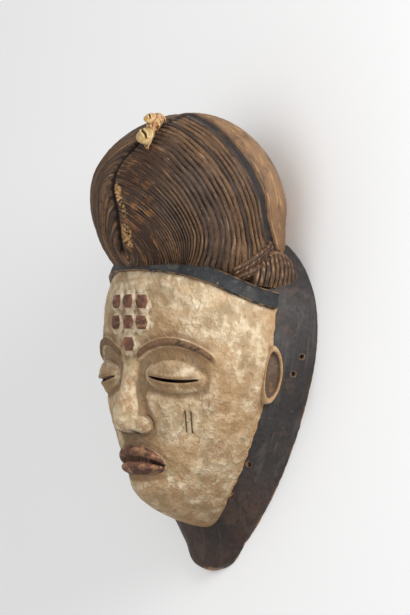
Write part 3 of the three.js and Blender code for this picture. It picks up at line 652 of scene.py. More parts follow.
def patches_group():
    """Soft-edged patches: noise, turned and drawn out to marks where asked, cut at a threshold. More amount
    gives more of the surface."""
    tree, add, given, out = group(
        "Patches",
        {"Vector": None, "Turn": None, "Stretch": None,
         "Scale": 5.0, "Detail": 5.0, "Amount": 0.5, "Softness": 0.05},
        {"Mask": "NodeSocketFloat"},
    )
    turned = add("ShaderNodeMapping", {"Vector": given.outputs["Vector"],
                                       "Rotation": given.outputs["Turn"]})
    drawn = add("ShaderNodeVectorMath", {0: turned.outputs[0], 1: given.outputs["Stretch"]},
                operation="MULTIPLY")
    noise = add("ShaderNodeTexNoise", {"Vector": drawn.outputs[0], "Scale": given.outputs["Scale"],
                                       "Detail": given.outputs["Detail"], "Roughness": 0.6})
    level = add("ShaderNodeMath", {0: 1.0, 1: given.outputs["Amount"]}, operation="SUBTRACT")
    top = add("ShaderNodeMath", {0: level.outputs[0], 1: given.outputs["Softness"]}, operation="ADD")
    low = add("ShaderNodeMath", {0: level.outputs[0], 1: given.outputs["Softness"]}, operation="SUBTRACT")
    mask = add("ShaderNodeMapRange", {"Value": noise.outputs[0], "From Min": low.outputs[0],
                                      "From Max": top.outputs[0]}, interpolation_type="SMOOTHSTEP")
    tree.links.new(mask.outputs[0], out.inputs["Mask"])
    return tree


def grain_group():
    """Heights of worked wood: fine grain along Y over small dents, for a Bump node."""
    tree, add, given, out = group(
        "Worked wood",
        {"Vector": None, "Grain": 0.5, "Dents": 0.5},
        {"Height": "NodeSocketFloat"},
    )
    drawn = add("ShaderNodeVectorMath", {0: given.outputs["Vector"], 1: (1.0, 0.12, 1.0)},
                operation="MULTIPLY")
    fine = add("ShaderNodeTexNoise", {"Vector": drawn.outputs[0], "Scale": 900.0, "Detail": 3.0})
    dents = add("ShaderNodeTexNoise", {"Vector": given.outputs["Vector"], "Scale": 240.0, "Detail": 4.0,
                                       "Roughness": 0.6})
    a = add("ShaderNodeMath", {0: fine.outputs[0], 1: given.outputs["Grain"]}, operation="MULTIPLY")
    b = add("ShaderNodeMath", {0: dents.outputs[0], 1: given.outputs["Dents"]}, operation="MULTIPLY")
    both = add("ShaderNodeMath", {0: a.outputs[0], 1: b.outputs[0]}, operation="ADD")
    tree.links.new(both.outputs[0], out.inputs["Height"])
    return tree


class Finish:
    """A material being built: a running colour with layers laid over it, and a Bump node for its relief."""

    def __init__(self, name, colour, roughness):
        self.material = bpy.data.materials.new(name)
        self.material.use_nodes = True
        self.material.diffuse_color = (*colour, 1)
        tree = self.material.node_tree
        tree.nodes.clear()
        self.tree, self.add = tree, nodes_of(tree)
        self.shader = self.add("ShaderNodeBsdfPrincipled", {"Roughness": roughness,
                                                            "Base Color": (*colour, 1)})
        output = self.add("ShaderNodeOutputMaterial")
        tree.links.new(self.shader.outputs[0], output.inputs["Surface"])
        self.place = self.add("ShaderNodeTexCoord").outputs["Object"]
        self.colour = (*colour, 1)

    def patches(self, scale, amount, softness=0.05, detail=5.0, turn=(0, 0, 0), stretch=(1, 1, 1)):
        """A mask of soft patches, or of marks drawn out along a direction turned by degrees."""
        made = self.add("ShaderNodeGroup", node_tree=bpy.data.node_groups["Patches"])
        self.tree.links.new(self.place, made.inputs["Vector"])
        values = {"Scale": scale, "Amount": amount, "Softness": softness, "Detail": detail,
                  "Stretch": stretch, "Turn": tuple(np.radians(turn))}
        for key, value in values.items():
            made.inputs[key].default_value = value
        return made.outputs[0]

    def marks(self, turn, scale, amount, softness=0.08, length=0.1):
        """A mask of brush or knife marks along the direction turned about Z."""
        return self.patches(scale, amount, softness, 3.0, (0, 0, turn), (1, length, 1))

    def kept(self, name, low=0.0, high=1.0):
        """A mask from a value kept on the mesh, stretched from low..high to 0..1."""
        value = self.add("ShaderNodeAttribute", attribute_name=name).outputs["Fac"]
        return self.stretched(value, low, high)

    def stretched(self, value, low, high):
        """A value stretched from low..high to 0..1, with soft ends."""
        made = self.add("ShaderNodeMapRange", {"Value": value, "From Min": low, "From Max": high},
                        interpolation_type="SMOOTHSTEP")
        return made.outputs[0]

    def times(self, a, b):
        """The product of two masks or numbers."""
        return self.add("ShaderNodeMath", {0: a, 1: b}, operation="MULTIPLY").outputs[0]

    def plus(self, a, b):
        """The sum of two masks, at most 1."""
        return self.add("ShaderNodeMath", {0: a, 1: b}, operation="ADD", use_clamp=True).outputs[0]

    def without(self, a, b):
        """The first mask where the second isn't."""
        rest = self.add("ShaderNodeMath", {0: 1.0, 1: b}, operation="SUBTRACT", use_clamp=True).outputs[0]
        return self.times(a, rest)

    def lay(self, colour, mask, strength=1.0):
        """Lays a colour over the running one where the mask says."""
        mask = self.times(mask, strength) if strength != 1.0 else mask
        made = self.add("ShaderNodeMix", {0: mask, 6: self.colour, 7: (*colour, 1)}, data_type="RGBA")
        self.colour = made.outputs[2]

    def rough(self, mask, low, high):
        """Roughness from low where the mask is 0 to high where it is 1."""
        made = self.add("ShaderNodeMapRange", {"Value": mask, "To Min": low, "To Max": high})
        self.tree.links.new(made.outputs[0], self.shader.inputs["Roughness"])

    def done(self, grain, dents, distance, cuts=None):
        """Joins the colour and the bump of worked wood to the shader. The mask of cuts lies deeper."""
        if isinstance(self.colour, bpy.types.NodeSocket):
            self.tree.links.new(self.colour, self.shader.inputs["Base Color"])
        made = self.add("ShaderNodeGroup", node_tree=bpy.data.node_groups["Worked wood"])
        self.tree.links.new(self.place, made.inputs["Vector"])
        made.inputs["Grain"].default_value = grain
        made.inputs["Dents"].default_value = dents
        height = made.outputs[0]
        if cuts is not None:
            height = self.add("ShaderNodeMath", {0: height, 1: cuts}, operation="SUBTRACT").outputs[0]
        bumped = self.add("ShaderNodeBump", {"Height": height, "Distance": distance, "Strength": 1.0})
        self.tree.links.new(bumped.outputs[0], self.shader.inputs["Normal"])
        return self.material


def kaolin_finish(look):
    """Brushed clay on wood: ochre where it is thin, cream where it is thick, brown where it is gone, with
    knife marks, and red clay on lips and lozenges. Painted shade darkens the hollows, cuts and ear dishes,
    and a painted highlight pales the raised places."""
    f = Finish("kaolin", look.kaolin, 0.85)
    f.lay(look.thick_clay, f.patches(13, 0.52, 0.2, 4.0), 0.6)
    f.lay((0.7, 0.605, 0.455), f.times(f.kept("upper"), f.patches(24, 0.58, 0.16, 6.0)), 0.6)
    f.lay(look.thick_clay, f.marks(24, 150, 0.52, 0.08), 0.65)
    f.lay((0.78, 0.69, 0.53), f.times(f.marks(-62, 200, 0.46, 0.06), f.patches(14, 0.52, 0.15)), 0.5)
    brown_marks = f.plus(f.marks(-38, 170, 0.45), f.times(f.marks(84, 210, 0.44), 0.8))
    f.lay((0.24, 0.14, 0.06), brown_marks, 0.52)
    f.lay((0.36, 0.215, 0.09), f.patches(26, 0.47, 0.1, 8.0), 0.62)
    f.lay((0.21, 0.15, 0.07), f.patches(64, 0.44, 0.07, 8.0), 0.55)
    f.lay((0.13, 0.075, 0.035), f.patches(620, 0.36, 0.04, 4.0), 0.55)
    knife = f.marks(8, 260, 0.33, 0.03, 0.05)
    f.lay((0.09, 0.05, 0.025), f.times(knife, f.patches(40, 0.5, 0.1)), 0.7)
    f.lay((0.1, 0.055, 0.025), f.patches(85, 0.31, 0.03, 8.0), 0.6)
    # Painted shade: darker brown in the hollows of the carving
    f.lay((0.14, 0.078, 0.034), f.kept("low", 0.03, 0.6), 0.75)
    f.lay((0.26, 0.145, 0.06), f.times(f.patches(11, 0.48, 0.1, 8.0), f.patches(90, 0.52, 0.1)), 0.7)
    # Paler clay on raised places is a painted highlight; brown on the highest places is wear down to the
    # wood
    f.lay(look.thick_clay, f.times(f.kept("high", 0.1, 0.6), f.patches(60, 0.5, 0.1)), 0.6)
    f.lay((0.3, 0.165, 0.07), f.times(f.kept("high", 0.35, 1.0), f.patches(120, 0.5, 0.08)), 0.8)
    f.lay(look.thick_clay, f.times(f.kept("white", 0.15, 1.0), f.patches(120, 0.56, 0.12)), 0.8)
    f.lay(look.ochre, f.kept("brow", 0.15, 0.6), 0.9)
    f.lay((0.045, 0.023, 0.012), f.times(f.kept("brow", 0.3, 0.9), f.marks(70, 260, 0.42, 0.05, 0.3)), 0.85)
    f.lay((0.26, 0.15, 0.065), f.times(f.kept("lid"), f.patches(90, 0.6, 0.1)), 0.85)
    f.lay((0.2, 0.12, 0.055), f.times(f.kept("dome"), f.patches(75, 0.5, 0.08, 8.0)), 0.62)
    f.lay((0.36, 0.2, 0.085), f.times(f.kept("rim"), f.patches(70, 0.56, 0.1)), 0.85)
    # Painted shade in each ear's shallow dish, with the ear's own brown in patches over it
    f.lay((0.055, 0.03, 0.018), f.kept("dish"), 0.9)
    f.lay((0.17, 0.085, 0.035), f.times(f.kept("dish"), f.patches(130, 0.42, 0.06)), 0.7)
    red = f.plus(f.kept("lip", 0.1, 0.5), f.kept("lozenge", 0.15, 0.6))
    f.lay(look.red_clay, red, 0.95)
    f.lay((0.04, 0.018, 0.012), f.times(red, f.patches(110, 0.5, 0.08)), 0.75)
    f.lay((0.36, 0.19, 0.09), f.times(red, f.marks(75, 190, 0.42, 0.05, 0.3)), 0.6)
    f.lay((0.42, 0.3, 0.18), f.times(red, f.patches(210, 0.35, 0.04)), 0.7)
    f.lay((0.36, 0.09, 0.025), f.times(f.kept("lozenge", 0.3, 0.8), f.patches(170, 0.35, 0.03)), 0.85)
    f.lay((0.06, 0.026, 0.014), f.kept("teeth", 0.2, 0.8), 0.85)
    # Painted shade: near black in the cracks, incised lines, nostrils, mouth gap and nose crease
    f.lay((0.02, 0.012, 0.008), f.kept("deep", 0.2, 0.9), 0.85)
    f.lay(look.bare_wood, f.kept("inside", 0.4, 0.6))
    return f.done(0.6, 1.2, 0.0009, f.times(brown_marks, 0.5))


def hair_finish(look):
    """Dark hair: near black in the grooves, partly as painted shade, each ridge its own brown, worn to
    orange-tan wood in places, with painted highlights and shade lines along the strands and painted shade
    over the front beside the centre groove.
    """
    f = Finish("blackened hair", look.hair, 0.65)
    f.lay((0.2, 0.104, 0.048), f.kept("shade", 0.0, 1.0), 0.65)
    # Darker over the front beside the centre groove and at the foot: partly the hair's own darker colour,
    # partly painted shade
    f.lay((0.032, 0.015, 0.008), f.times(f.kept("worn", 0, 0.7), f.patches(18, 0.64, 0.15)), 0.85)
    # Painted highlights along the strands of the ridges, then painted shade lines between them
    f.lay((0.34, 0.21, 0.12), f.without(f.kept("strands_and_highlights", 0.6, 1.1), f.kept("groove", 0.1, 0.5)), 0.75)
    f.lay((0.018, 0.01, 0.006), f.kept("strands_and_highlights", 0.42, 0.0), 0.75)
    f.lay((0.03, 0.017, 0.01), f.patches(13, 0.46, 0.12, 8.0), 0.45)
    f.lay((0.02, 0.011, 0.007), f.patches(300, 0.42, 0.06, 8.0), 0.5)
    back = f.kept("back")
    f.lay((0.27, 0.155, 0.08), f.times(back, f.patches(40, 0.6, 0.12, 8.0)), 0.7)
    tan = f.times(back, f.patches(70, 0.52, 0.08, 8.0))
    f.lay((0.44, 0.25, 0.11), f.times(tan, f.kept("strands_and_highlights", 0.4, 0.9)), 0.8)
    worn = f.times(f.times(f.kept("worn"), f.patches(95, 0.44, 0.06, 8.0)), f.kept("strands_and_highlights", 0.35, 0.75))
    f.lay((0.26, 0.115, 0.04), worn, 0.8)
    f.lay((0.5, 0.3, 0.15), f.patches(330, 0.29, 0.02), 0.6)
    # Near black in the grooves: partly blackening left in them, partly painted shade
    f.lay((0.013, 0.008, 0.006), f.kept("groove", 0.28, 0.75), 0.93)
    f.lay((0.5, 0.29, 0.12), f.kept("chips", 0.25, 0.9), 0.85)
    f.lay(look.band, f.kept("band"), 0.92)
    f.lay(look.bare_wood, f.kept("inside", 0.4, 0.6))
    f.rough(f.plus(f.kept("groove"), worn), 0.5, 0.8)
    f.shader.inputs["Specular IOR Level"].default_value = 0.22
    return f.done(0.7, 1.0, 0.0006)


def band_finish(look):
    """Black band with tan wood showing along its worn edges."""
    f = Finish("black band", look.band, 0.55)
    f.lay((0.045, 0.042, 0.036), f.patches(40, 0.46, 0.1, 8.0), 0.7)
    f.lay((0.009, 0.009, 0.01), f.patches(90, 0.45, 0.08, 8.0), 0.7)
    f.lay((0.07, 0.065, 0.055), f.marks(85, 160, 0.4, 0.06), 0.5)
    f.lay((0.24, 0.14, 0.07), f.times(f.kept("edge", 0.3, 0.9), f.patches(120, 0.52, 0.08, 8.0)), 0.85)
    f.lay((0.3, 0.22, 0.14), f.patches(260, 0.31, 0.02), 0.6)
    f.shader.inputs["Specular IOR Level"].default_value = 0.22
    return f.done(0.5, 1.0, 0.0006)


def collar_finish(look):
    """Dark smoked wood, its grey partly painted sheen, browner towards the tongue, with worn edges."""
    f = Finish("smoked collar", look.collar, 0.5)
    f.lay((0.046, 0.022, 0.014), f.kept("tongue"), 0.85)
    f.lay((0.012, 0.01, 0.0095), f.patches(14, 0.46, 0.12, 8.0), 0.65)
    f.lay((0.075, 0.042, 0.026), f.patches(45, 0.42, 0.08, 8.0), 0.5)
    f.lay((0.01, 0.008, 0.007), f.patches(260, 0.45, 0.06, 8.0), 0.5)
    f.lay((0.075, 0.062, 0.055), f.marks(6, 150, 0.4, 0.06, 0.04), 0.4)
    f.lay((0.3, 0.16, 0.07), f.times(f.kept("edge", 0.45, 1.0), f.patches(80, 0.5, 0.08, 8.0)), 0.85)
    f.lay((0.26, 0.13, 0.055), f.patches(300, 0.3, 0.02), 0.7)
    f.lay(look.bare_wood, f.kept("inside", 0.4, 0.6))
    f.rough(f.patches(30, 0.5, 0.2), 0.44, 0.66)
    f.shader.inputs["Specular IOR Level"].default_value = 0.34
    return f.done(0.8, 0.7, 0.0005)


def shell_finish(name, colour, slit):
    """A glossy shell, warmer in patches, with painted shade along its slit and round its foot."""
    f = Finish(name, colour, 0.3)
    f.lay((colour[0] * 0.8, colour[1] * 0.66, colour[2] * 0.45), f.patches(160, 0.5, 0.12))
    f.lay((0.16, 0.08, 0.03), f.patches(420, 0.34, 0.04), 0.6)
    f.lay((0.64, 0.5, 0.28), f.kept("pale", 0.1, 0.9), 0.5)
    # Painted shade: near black along the slit, and darker round the foot where the shell meets the tie
    f.lay(slit, f.kept("slit", 0.3, 0.9))
    f.lay((0.12, 0.06, 0.025), f.kept("foot", 0.2, 1.0), 0.8)
    return f.done(0.2, 0.3, 0.0002)


def fibre_finish(look):
    """Dry plant fibre, each strand its own shade of tan."""
    f = Finish("plant fibre", look.fibre, 0.85)
    f.lay((0.32, 0.13, 0.045), f.kept("shade"), 0.85)
    f.lay((0.66, 0.5, 0.3), f.patches(400, 0.45, 0.1), 0.6)
    f.lay((0.06, 0.03, 0.015), f.patches(260, 0.4, 0.05), 0.6)
    return f.done(1.0, 0.5, 0.0003)


# What a user would change

class MaskSizes(bpy.types.PropertyGroup):
    """Sizes of the finer carving, in millimetres."""

    groove_pitch: FloatProperty(name="Groove pitch", description="Distance between the grooves of the hair",
                                default=4.4)
    groove_depth: FloatProperty(name="Groove depth", description="Depth of the grooves of the hair",
                                default=1.9)
    strands: IntProperty(name="Strands", description="Number of fibre strands in the tie", default=100)


class MaskColours(bpy.types.PropertyGroup):
    """Colours of the finishes."""

    kaolin: FloatVectorProperty(name="Kaolin", description="White clay of the face", subtype="COLOR",
                                default=(0.405, 0.275, 0.14))
    thick_clay: FloatVectorProperty(name="Thick clay", description="Clay that is still thick",
                                    subtype="COLOR", default=(0.63, 0.52, 0.36))
    ochre: FloatVectorProperty(name="Ochre", description="Stained brows", subtype="COLOR",
                               default=(0.125, 0.062, 0.025))
    red_clay: FloatVectorProperty(name="Red clay", description="Lips and lozenges", subtype="COLOR",
                                  default=(0.14, 0.05, 0.03))
    hair: FloatVectorProperty(name="Hair", description="Blackened hair", subtype="COLOR",
                              default=(0.05, 0.031, 0.021))
    band: FloatVectorProperty(name="Band", description="Headband and wide groove", subtype="COLOR",
                              default=(0.02, 0.021, 0.023))
    # The collar's grey is partly the smoked wood and partly painted sheen
    collar: FloatVectorProperty(name="Collar", description="Smoked wood of the collar", subtype="COLOR",
                                default=(0.036, 0.031, 0.029))
    bare_wood: FloatVectorProperty(name="Bare wood", description="Wood inside the hollow", subtype="COLOR",
                                   default=(0.2, 0.12, 0.065))
    shell: FloatVectorProperty(name="Shell", description="Lower cowrie", subtype="COLOR",
                               default=(0.39, 0.265, 0.1))
    fibre: FloatVectorProperty(name="Fibre", description="Plant fibre of the tie", subtype="COLOR",
                               default=(0.5, 0.3, 0.12))


# Pieces

class MASK_OT_collar(bpy.types.Operator):
    """Carve the hull with its collar, hollow inside, with the holes for cords"""

    bl_idname = "mask.collar"
    bl_label = "Collar"

    def execute(self, context):
        look = context.scene.mask_colours
        end = HULL_WIDEST_Y - TONGUE_END_SHARE * HULL_TIP_LENGTH
        top = HULL_WIDEST_Y + 0.9 * HULL_TOP_RISE
        y = level_row((end, end + 2, 10), (end + 2, end + 10, 20), (end + 10, top, 225))
        y = np.append(y, [[top]], 0)
        angle = np.linspace(0, np.pi, 190)[None]
        plain = on_hull(angle, y)
        edge = smooth(-plain[..., 2], -3, -0.4) * (1 - 0.5 * smooth(y, -60, 40))
        wear = 0.3 * waves(plain, 40, 11) + 0.12 * waves(plain, 12, 12)
        wear = wear - 0.35 * edge * (1 + waves(plain, 7, 13))
        points = on_hull(angle, y, wear)
        points[..., 2] = np.maximum(0, points[..., 2])
        points[:, (0, -1), 2] = 0
        foot = -np.linspace(1, -1, 12)[1:-1]
        under = xyz(points[:, :1, 0] * foot[None], y, 0)
        rings = np.concatenate([points, under], 1)
        pad = np.zeros((len(y), under.shape[1]))
        worn = np.broadcast_to(edge + smooth(-y, -end - 5, -end), points.shape[:2])
        worn = np.concatenate([worn, pad + 0.5], 1)
        tongue = np.broadcast_to(smooth(-y + 0 * worn, 70, 150), worn.shape)
        inside = np.concatenate([np.zeros(points.shape[:2]), pad + 1], 1)
        values = {"edge": [np.clip(worn, 0, 1)], "tongue": [tongue], "skin": [1 - inside]}
        piece = cut(skin("collar", [rings], values), hollow(), collar_holes())
        mark_inside(piece)
        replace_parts(finished(piece, collar_finish(look)), "mask")
        return {"FINISHED"}


def mark_inside(piece):
    """Keeps a value on the mesh that is 1 on the cut surfaces: there the outside's own value is missing."""
    skin_values = np.zeros(len(piece.data.vertices), np.float32)
    piece.data.attributes["skin"].data.foreach_get("value", skin_values)
    kept = piece.data.attributes.new("inside", "FLOAT", "POINT")
    kept.data.foreach_set("value", 1 - skin_values)


class MASK_OT_face(bpy.types.Operator):
    """Carve the face with its relief and cut the hollow and the eye slits"""

    bl_idname = "mask.face"
    bl_label = "Face"

    def execute(self, context):
        look = context.scene.mask_colours
        level = level_row((FACE_CHIN_Y + 0.15, FACE_CHIN_Y + 4, 16), (FACE_CHIN_Y + 4, FACE_TOP_Y, 272))
        level = np.append(level, [[FACE_TOP_Y]], 0)
        t = np.linspace(-1, 1, 300)[None]
        angle = np.pi / 2 * (0.8 * t + 0.2 * t**3)
        share = np.clip((level - HULL_WIDEST_Y) / (FACE_TOP_Y - HULL_WIDEST_Y), 0, 1)
        y = level - share * (FACE_TOP_Y - hairline(angle))
        plain = on_face_angle(angle, y)
        across = angle * face_turn(y)
        height, masks = face_relief(across, y, plain)
        rim = smooth(np.abs(angle), np.radians(80), np.radians(90))
        height = height * (1 - rim) - 0.6 * rim * (1 + 0.5 * waves(plain, 9, 5))
        points = on_face_angle(angle, y, height)
        # low and high: how far each place lies below or above its neighbourhood, for painted shade in the
        # hollows and for a painted highlight and wear on raised places
        coarse, fine = softened(height, 10), softened(height, 2)
        masks["low"] = np.clip((coarse - fine) / 1.4, 0, 1)
        masks["high"] = np.clip((fine - coarse) / 1.2, 0, 1)
        chin_rim = smooth(-y, -FACE_CHIN_Y - 3.5, -FACE_CHIN_Y - 1)
        masks["rim"] = np.maximum(smooth(np.abs(angle), 1.5, 1.56), chin_rim)
        masks["upper"] = smooth(y, -25, 15)
        masks["skin"] = np.ones_like(height)
        left, right = points[:, :1], points[:, -1:]
        shallow, deep, inwards = (0, 0, 6), (0, 0, 14), (0.9, 1, 1)
        sides = [left * inwards - deep, left - shallow, right - shallow, right * inwards - deep]
        rings = np.concatenate([*sides[:2], points, *sides[2:]], 1)
        top = rings[-1]
        ends = [top * (0.88, 1, 0.88), top * (0.7, 1, 0.7) + (0, 8, 0)]
        rings = np.concatenate([rings, np.stack(ends)], 0)
        rings[..., 2] = np.maximum(0.3, rings[..., 2])
        values = {
            key: [np.pad(grid, ((0, 2), (2, 2)), mode="edge")] for key, grid in masks.items()
        }
        values["rim"][0][:, :2] *= 0.3
        values["rim"][0][:, -2:] *= 0.3
        piece = cut(skin("face", [rings], values), hollow(0.4), eye_slits())
        mark_inside(piece)
        finished(piece, kaolin_finish(look))
        return {"FINISHED"}


class MASK_OT_ears(bpy.types.Operator):
    """Carve the ears: a raised rim round a dish that opens towards the front"""

    bl_idname = "mask.ears"
    bl_label = "Ears"

    def execute(self, context):
        look = context.scene.mask_colours
        size = through(
            (0, 0.02), (0.25, 0.45), (0.42, 0.7), (0.5, 0.78),
            (0.62, 0.87), (0.75, 0.96), (0.88, 1), (1, 0.92),
        )
        rise = through(
            (0, 0.36), (0.25, 0.36), (0.42, 0.42), (0.5, 0.72),
            (0.62, 0.9), (0.75, 0.8), (0.88, 0.4), (1, -1),
        )
        q = np.linspace(0, 1, 60)[:, None]
        turn = np.linspace(0, 2 * np.pi, 90, endpoint=False)[None]
        outward = np.array([1, 0, 0.25]) / np.hypot(1, 0.25)
        back = np.array([0.25, 0, -1]) / np.hypot(1, 0.25)
        y = np.float64(EAR_Y)
        root = np.array([face_half_width(y) - 0.5, EAR_Y, face_edge(y) + 0.05 * EAR_DEPTH])
        backness = np.cos(turn)
        depth = size(q) * 0.5 * np.where(backness > 0, 1, 0.35) * backness * EAR_DEPTH
        length = size(q) * 0.5 * np.sin(turn) * EAR_LENGTH
        lowered = 1 - 0.45 * smooth(-backness, 0.2, 0.9) * smooth(q, 0.3, 0.6)
        height = EAR_RISE * rise(q) * np.where(rise(q) > 0, lowered, 1)
        rings = root + height[..., None] * outward + depth[..., None] * back
        rings = rings + length[..., None] * np.array([0, 1, 0])
        rings = rings + 0.2 * waves(rings, 9, 21)[..., None]
        rim = np.broadcast_to(smooth(q, 0.4, 0.55) * smooth(-q, -0.85, -0.7), rings.shape[:2])
        # The dish is shallow, and the finish lays painted shade in it
        dish = np.broadcast_to(smooth(-q, -0.56, -0.48), rings.shape[:2])
        zero = np.zeros_like(rim)
        values = {"rim": [rim] * 2, "dish": [dish] * 2, "brow": [zero] * 2}
        piece = skin("ears", both_sides([rings]), values)
        finished(piece, kaolin_finish(look))
        return {"FINISHED"}


class MASK_OT_headband(bpy.types.Operator):
    """Carve the plain raised band along the hairline"""

    bl_idname = "mask.headband"
    bl_label = "Headband"

    def execute(self, context):
        look = context.scene.mask_colours
        half = BAND_HEIGHT / 2
        q = np.linspace(-1, 1, 26)
        up = np.r_[-half, half * q, half][None]
        height = np.r_[-18, BAND_PROUD * (1 - 0.18 * q**2) - 0.9 * smooth(np.abs(q), 0.9, 1.0), -18][None]
        height[0, 1:-1] += 0.5 * bump(q - 0.86, 0.1) + 0.4 * bump(q + 0.86, 0.1)
        angle = np.linspace(-np.pi / 2, np.pi / 2, 320)[:, None]
        plain = on_face_angle(angle, hairline(angle) + up, height)
        wear = 0.25 * waves(plain, 25, 41) + 0.12 * waves(plain, 7, 42)
        points = on_face_angle(angle, hairline(angle) + up, height + wear * (height > -1))
        edge = np.r_[1, smooth(np.abs(q), 0.7, 0.95), 1][None] * np.ones_like(angle)
        piece = skin("headband", [points], {"edge": [edge]})
        finished(piece, band_finish(look))
        return {"FINISHED"}


class MASK_OT_coiffure(bpy.types.Operator):
    """Carve the coiffure with its ring grooves, centre groove and wide dark groove"""

    bl_idname = "mask.coiffure"
    bl_label = "Coiffure"

    def execute(self, context):
        look, sizes = context.scene.mask_colours, context.scene.mask_sizes
        band_from = BAND_GROOVE_AT - BAND_GROOVE_WIDTH / 2
        band_to = BAND_GROOVE_AT + BAND_GROOVE_WIDTH / 2
        back_end = band_to + BACK_GROOVE_COUNT * BACK_PITCH
        front_rows = 288
        far_end = np.pi * HAIR_RADIUS - 2
        along = level_row(
            (1.5, BAND_GROOVE_AT, front_rows),
            (BAND_GROOVE_AT, back_end, 74),
            (back_end, far_end, 24),
        )
        left = -np.interp(1 - np.arange(200) / 200, (0, 0.06, 0.88, 1), (0, 0.035, 0.72, 1))
        right = np.interp(np.arange(128) / 128, (0, 0.09, 0.8, 1), (0, 0.035, 0.72, 1))
        turn = np.pi * np.concatenate([left, right])[None]
        away = along / HAIR_RADIUS
        bent = turn + CENTRE_BEND(away) * (1 - np.abs(turn) / np.pi)
        direction = from_corner(away + 0 * bent, bent + 0 * away)
        plain = on_hair_direction(direction)
        # Ring grooves, drawn by hand: their phase wanders a little. To the mask's right they run up beside
        # the centre groove, as long ovals: the square root of x squared and a share of y squared
        wander = 0.16 * waves(plain, 42, 51) + 0.055 * waves(plain, 15, 52)
        fine = np.arange(0, 240, 0.25)
        counted = np.cumsum(0.25 / (sizes.groove_pitch * (0.55 + 0.45 * smooth(fine, 40, 95))))
        oval = along * np.hypot(np.sin(turn), 0.38 * np.cos(turn)) / LEFT_PITCH
        front_phase = np.where(turn < 0, oval, np.interp(along, fine, counted)) + wander
        back_phase = (along - band_to) / BACK_PITCH + wander
        front = 1 - np.abs(np.sin(np.pi * front_phase)) ** 0.62
        back = 1 - np.abs(np.sin(np.pi * back_phase)) ** 0.62
        in_front = smooth(-along, -band_from + 3.2, -band_from + 4.2)
        in_band = smooth(along, band_from - 0.7, band_from + 0.7)
        in_band = in_band * smooth(-along, -band_to - 0.7, -band_to + 0.7)
        in_back = smooth(along, band_to + 0.5, band_to + 1.5) * smooth(-along, -back_end, -back_end + 2)
        from_centre = HAIR_RADIUS * np.sin(away) * np.abs(turn)
        near = smooth(-from_centre, -78, -18) * smooth(-along, -116, -58) * (turn > 0)
        faint = np.clip(near * (0.72 + 0.4 * waves(plain, 16, 53)), 0, 0.82)
        run = np.where(turn < 0, along + 0 * turn, from_centre)
        flow = xyz(front_phase * sizes.groove_pitch, 0.07 * run, 0)
        # A pattern along the strands: a fine relief here, and the painted highlights and shade lines of the
        # finish
        strands_and_highlights = 0.6 * waves(flow, 2.2, 62, 24) + 0.5 * waves(flow, 1.1, 63, 24)
        groove = (front * in_front * (1 - faint) + 0.9 * back * in_back)
        groove = groove * np.clip(0.85 + 0.3 * waves(plain, 22, 54), 0.3, 1.2) * np.where(turn < 0, 0.75, 1)
        foot = smooth(-along, -30, -14) * (turn > 0)
        groove = groove * (1 - 0.85 * foot)
        centre = np.exp(-((from_centre / (0.42 * CENTRE_GROOVE_WIDTH)) ** 2))
        centre = centre * smooth(-along, -band_from, -band_from + 3)
        depth = sizes.groove_depth * groove + BAND_GROOVE_DEPTH * in_band
        depth = np.maximum(depth, CENTRE_GROOVE_DEPTH * centre)
        # Slivers of wood chipped off beside the end of the centre groove, and a small hole there
        streaks = np.abs(np.sin(1.9 * (plain[..., 0] + plain[..., 1]) + 2 * waves(plain, 9, 55))) ** 0.6
        chipped = near * smooth(-along, -62, -22) * smooth(-from_centre, -20, -9)
        chipped = chipped * smooth(waves(plain, 11, 59), -0.5, 0.5)
        pit = bump(np.linalg.norm(plain - PIT, axis=-1), 3)
        depth = depth + chipped * (1.3 * streaks - 0.3) + 3.4 * pit
        depth = depth + 0.22 * waves(plain, 30, 56) + 0.12 * waves(plain, 7, 57)
        depth = depth - 0.16 * strands_and_highlights * (0.5 + near) * (1 - in_band) * (1 - foot)
        splinters = np.exp(-(((along - 46) / 11) ** 2) - ((from_centre - 7) / 4) ** 2)
        splinters = splinters + np.exp(-(((along - 19) / 8) ** 2) - ((from_centre - 9) / 6) ** 2)
        splinters = splinters * (turn > 0) * np.clip(0.8 + 1.2 * waves(plain, 3, 65, 24), 0, 1.3)
        depth = depth + 0.6 * splinters
        points = on_hair_direction(direction, -depth / HAIR_RADIUS)
        points[..., 2] = np.maximum(0, points[..., 2])
        # Each ridge has its own shade
        shades = np.random.default_rng(8).uniform(0, 1, 400)
        front_count = np.floor(front_phase + 100 * (turn < 0))
        count = np.where(along > BAND_GROOVE_AT, 300 + np.floor(back_phase), front_count)
        values = {
            "groove": np.clip(groove + 0.9 * centre + pit, 0, 1),
            "band": in_band * (0.9 + 0.2 * waves(plain, 12, 58)),
            "back": smooth(along, band_to, band_to + 6) + 0 * turn,
            # worn: the front beside the centre groove and the foot, which the finish darkens, partly as
            # painted shade, and wears to orange wood
            "worn": np.clip(near + foot + smooth(-from_centre, -7, -3) * 0.5, 0, 1),
            "chips": np.clip(np.clip(chipped * 1.4, 0, 1) * (1 - streaks) + splinters, 0, 1),
            "shade": shades[np.clip(count, 0, 399).astype(int)],
            "strands_and_highlights": 0.5 + 0.5 * strands_and_highlights,
            "skin": np.ones_like(groove),
        }
        finish = hair_finish(look)
        for name, rows in (
            ("coiffure", slice(0, front_rows + 1)),
            ("coiffure_back", slice(front_rows, None)),
        ):
            kept = {key: [grid[rows]] for key, grid in values.items()}
            piece = cut(skin(name, [points[rows]], kept), hollow(0.8))
            mark_inside(piece)
            finished(piece, finish, 60)
        return {"FINISHED"}


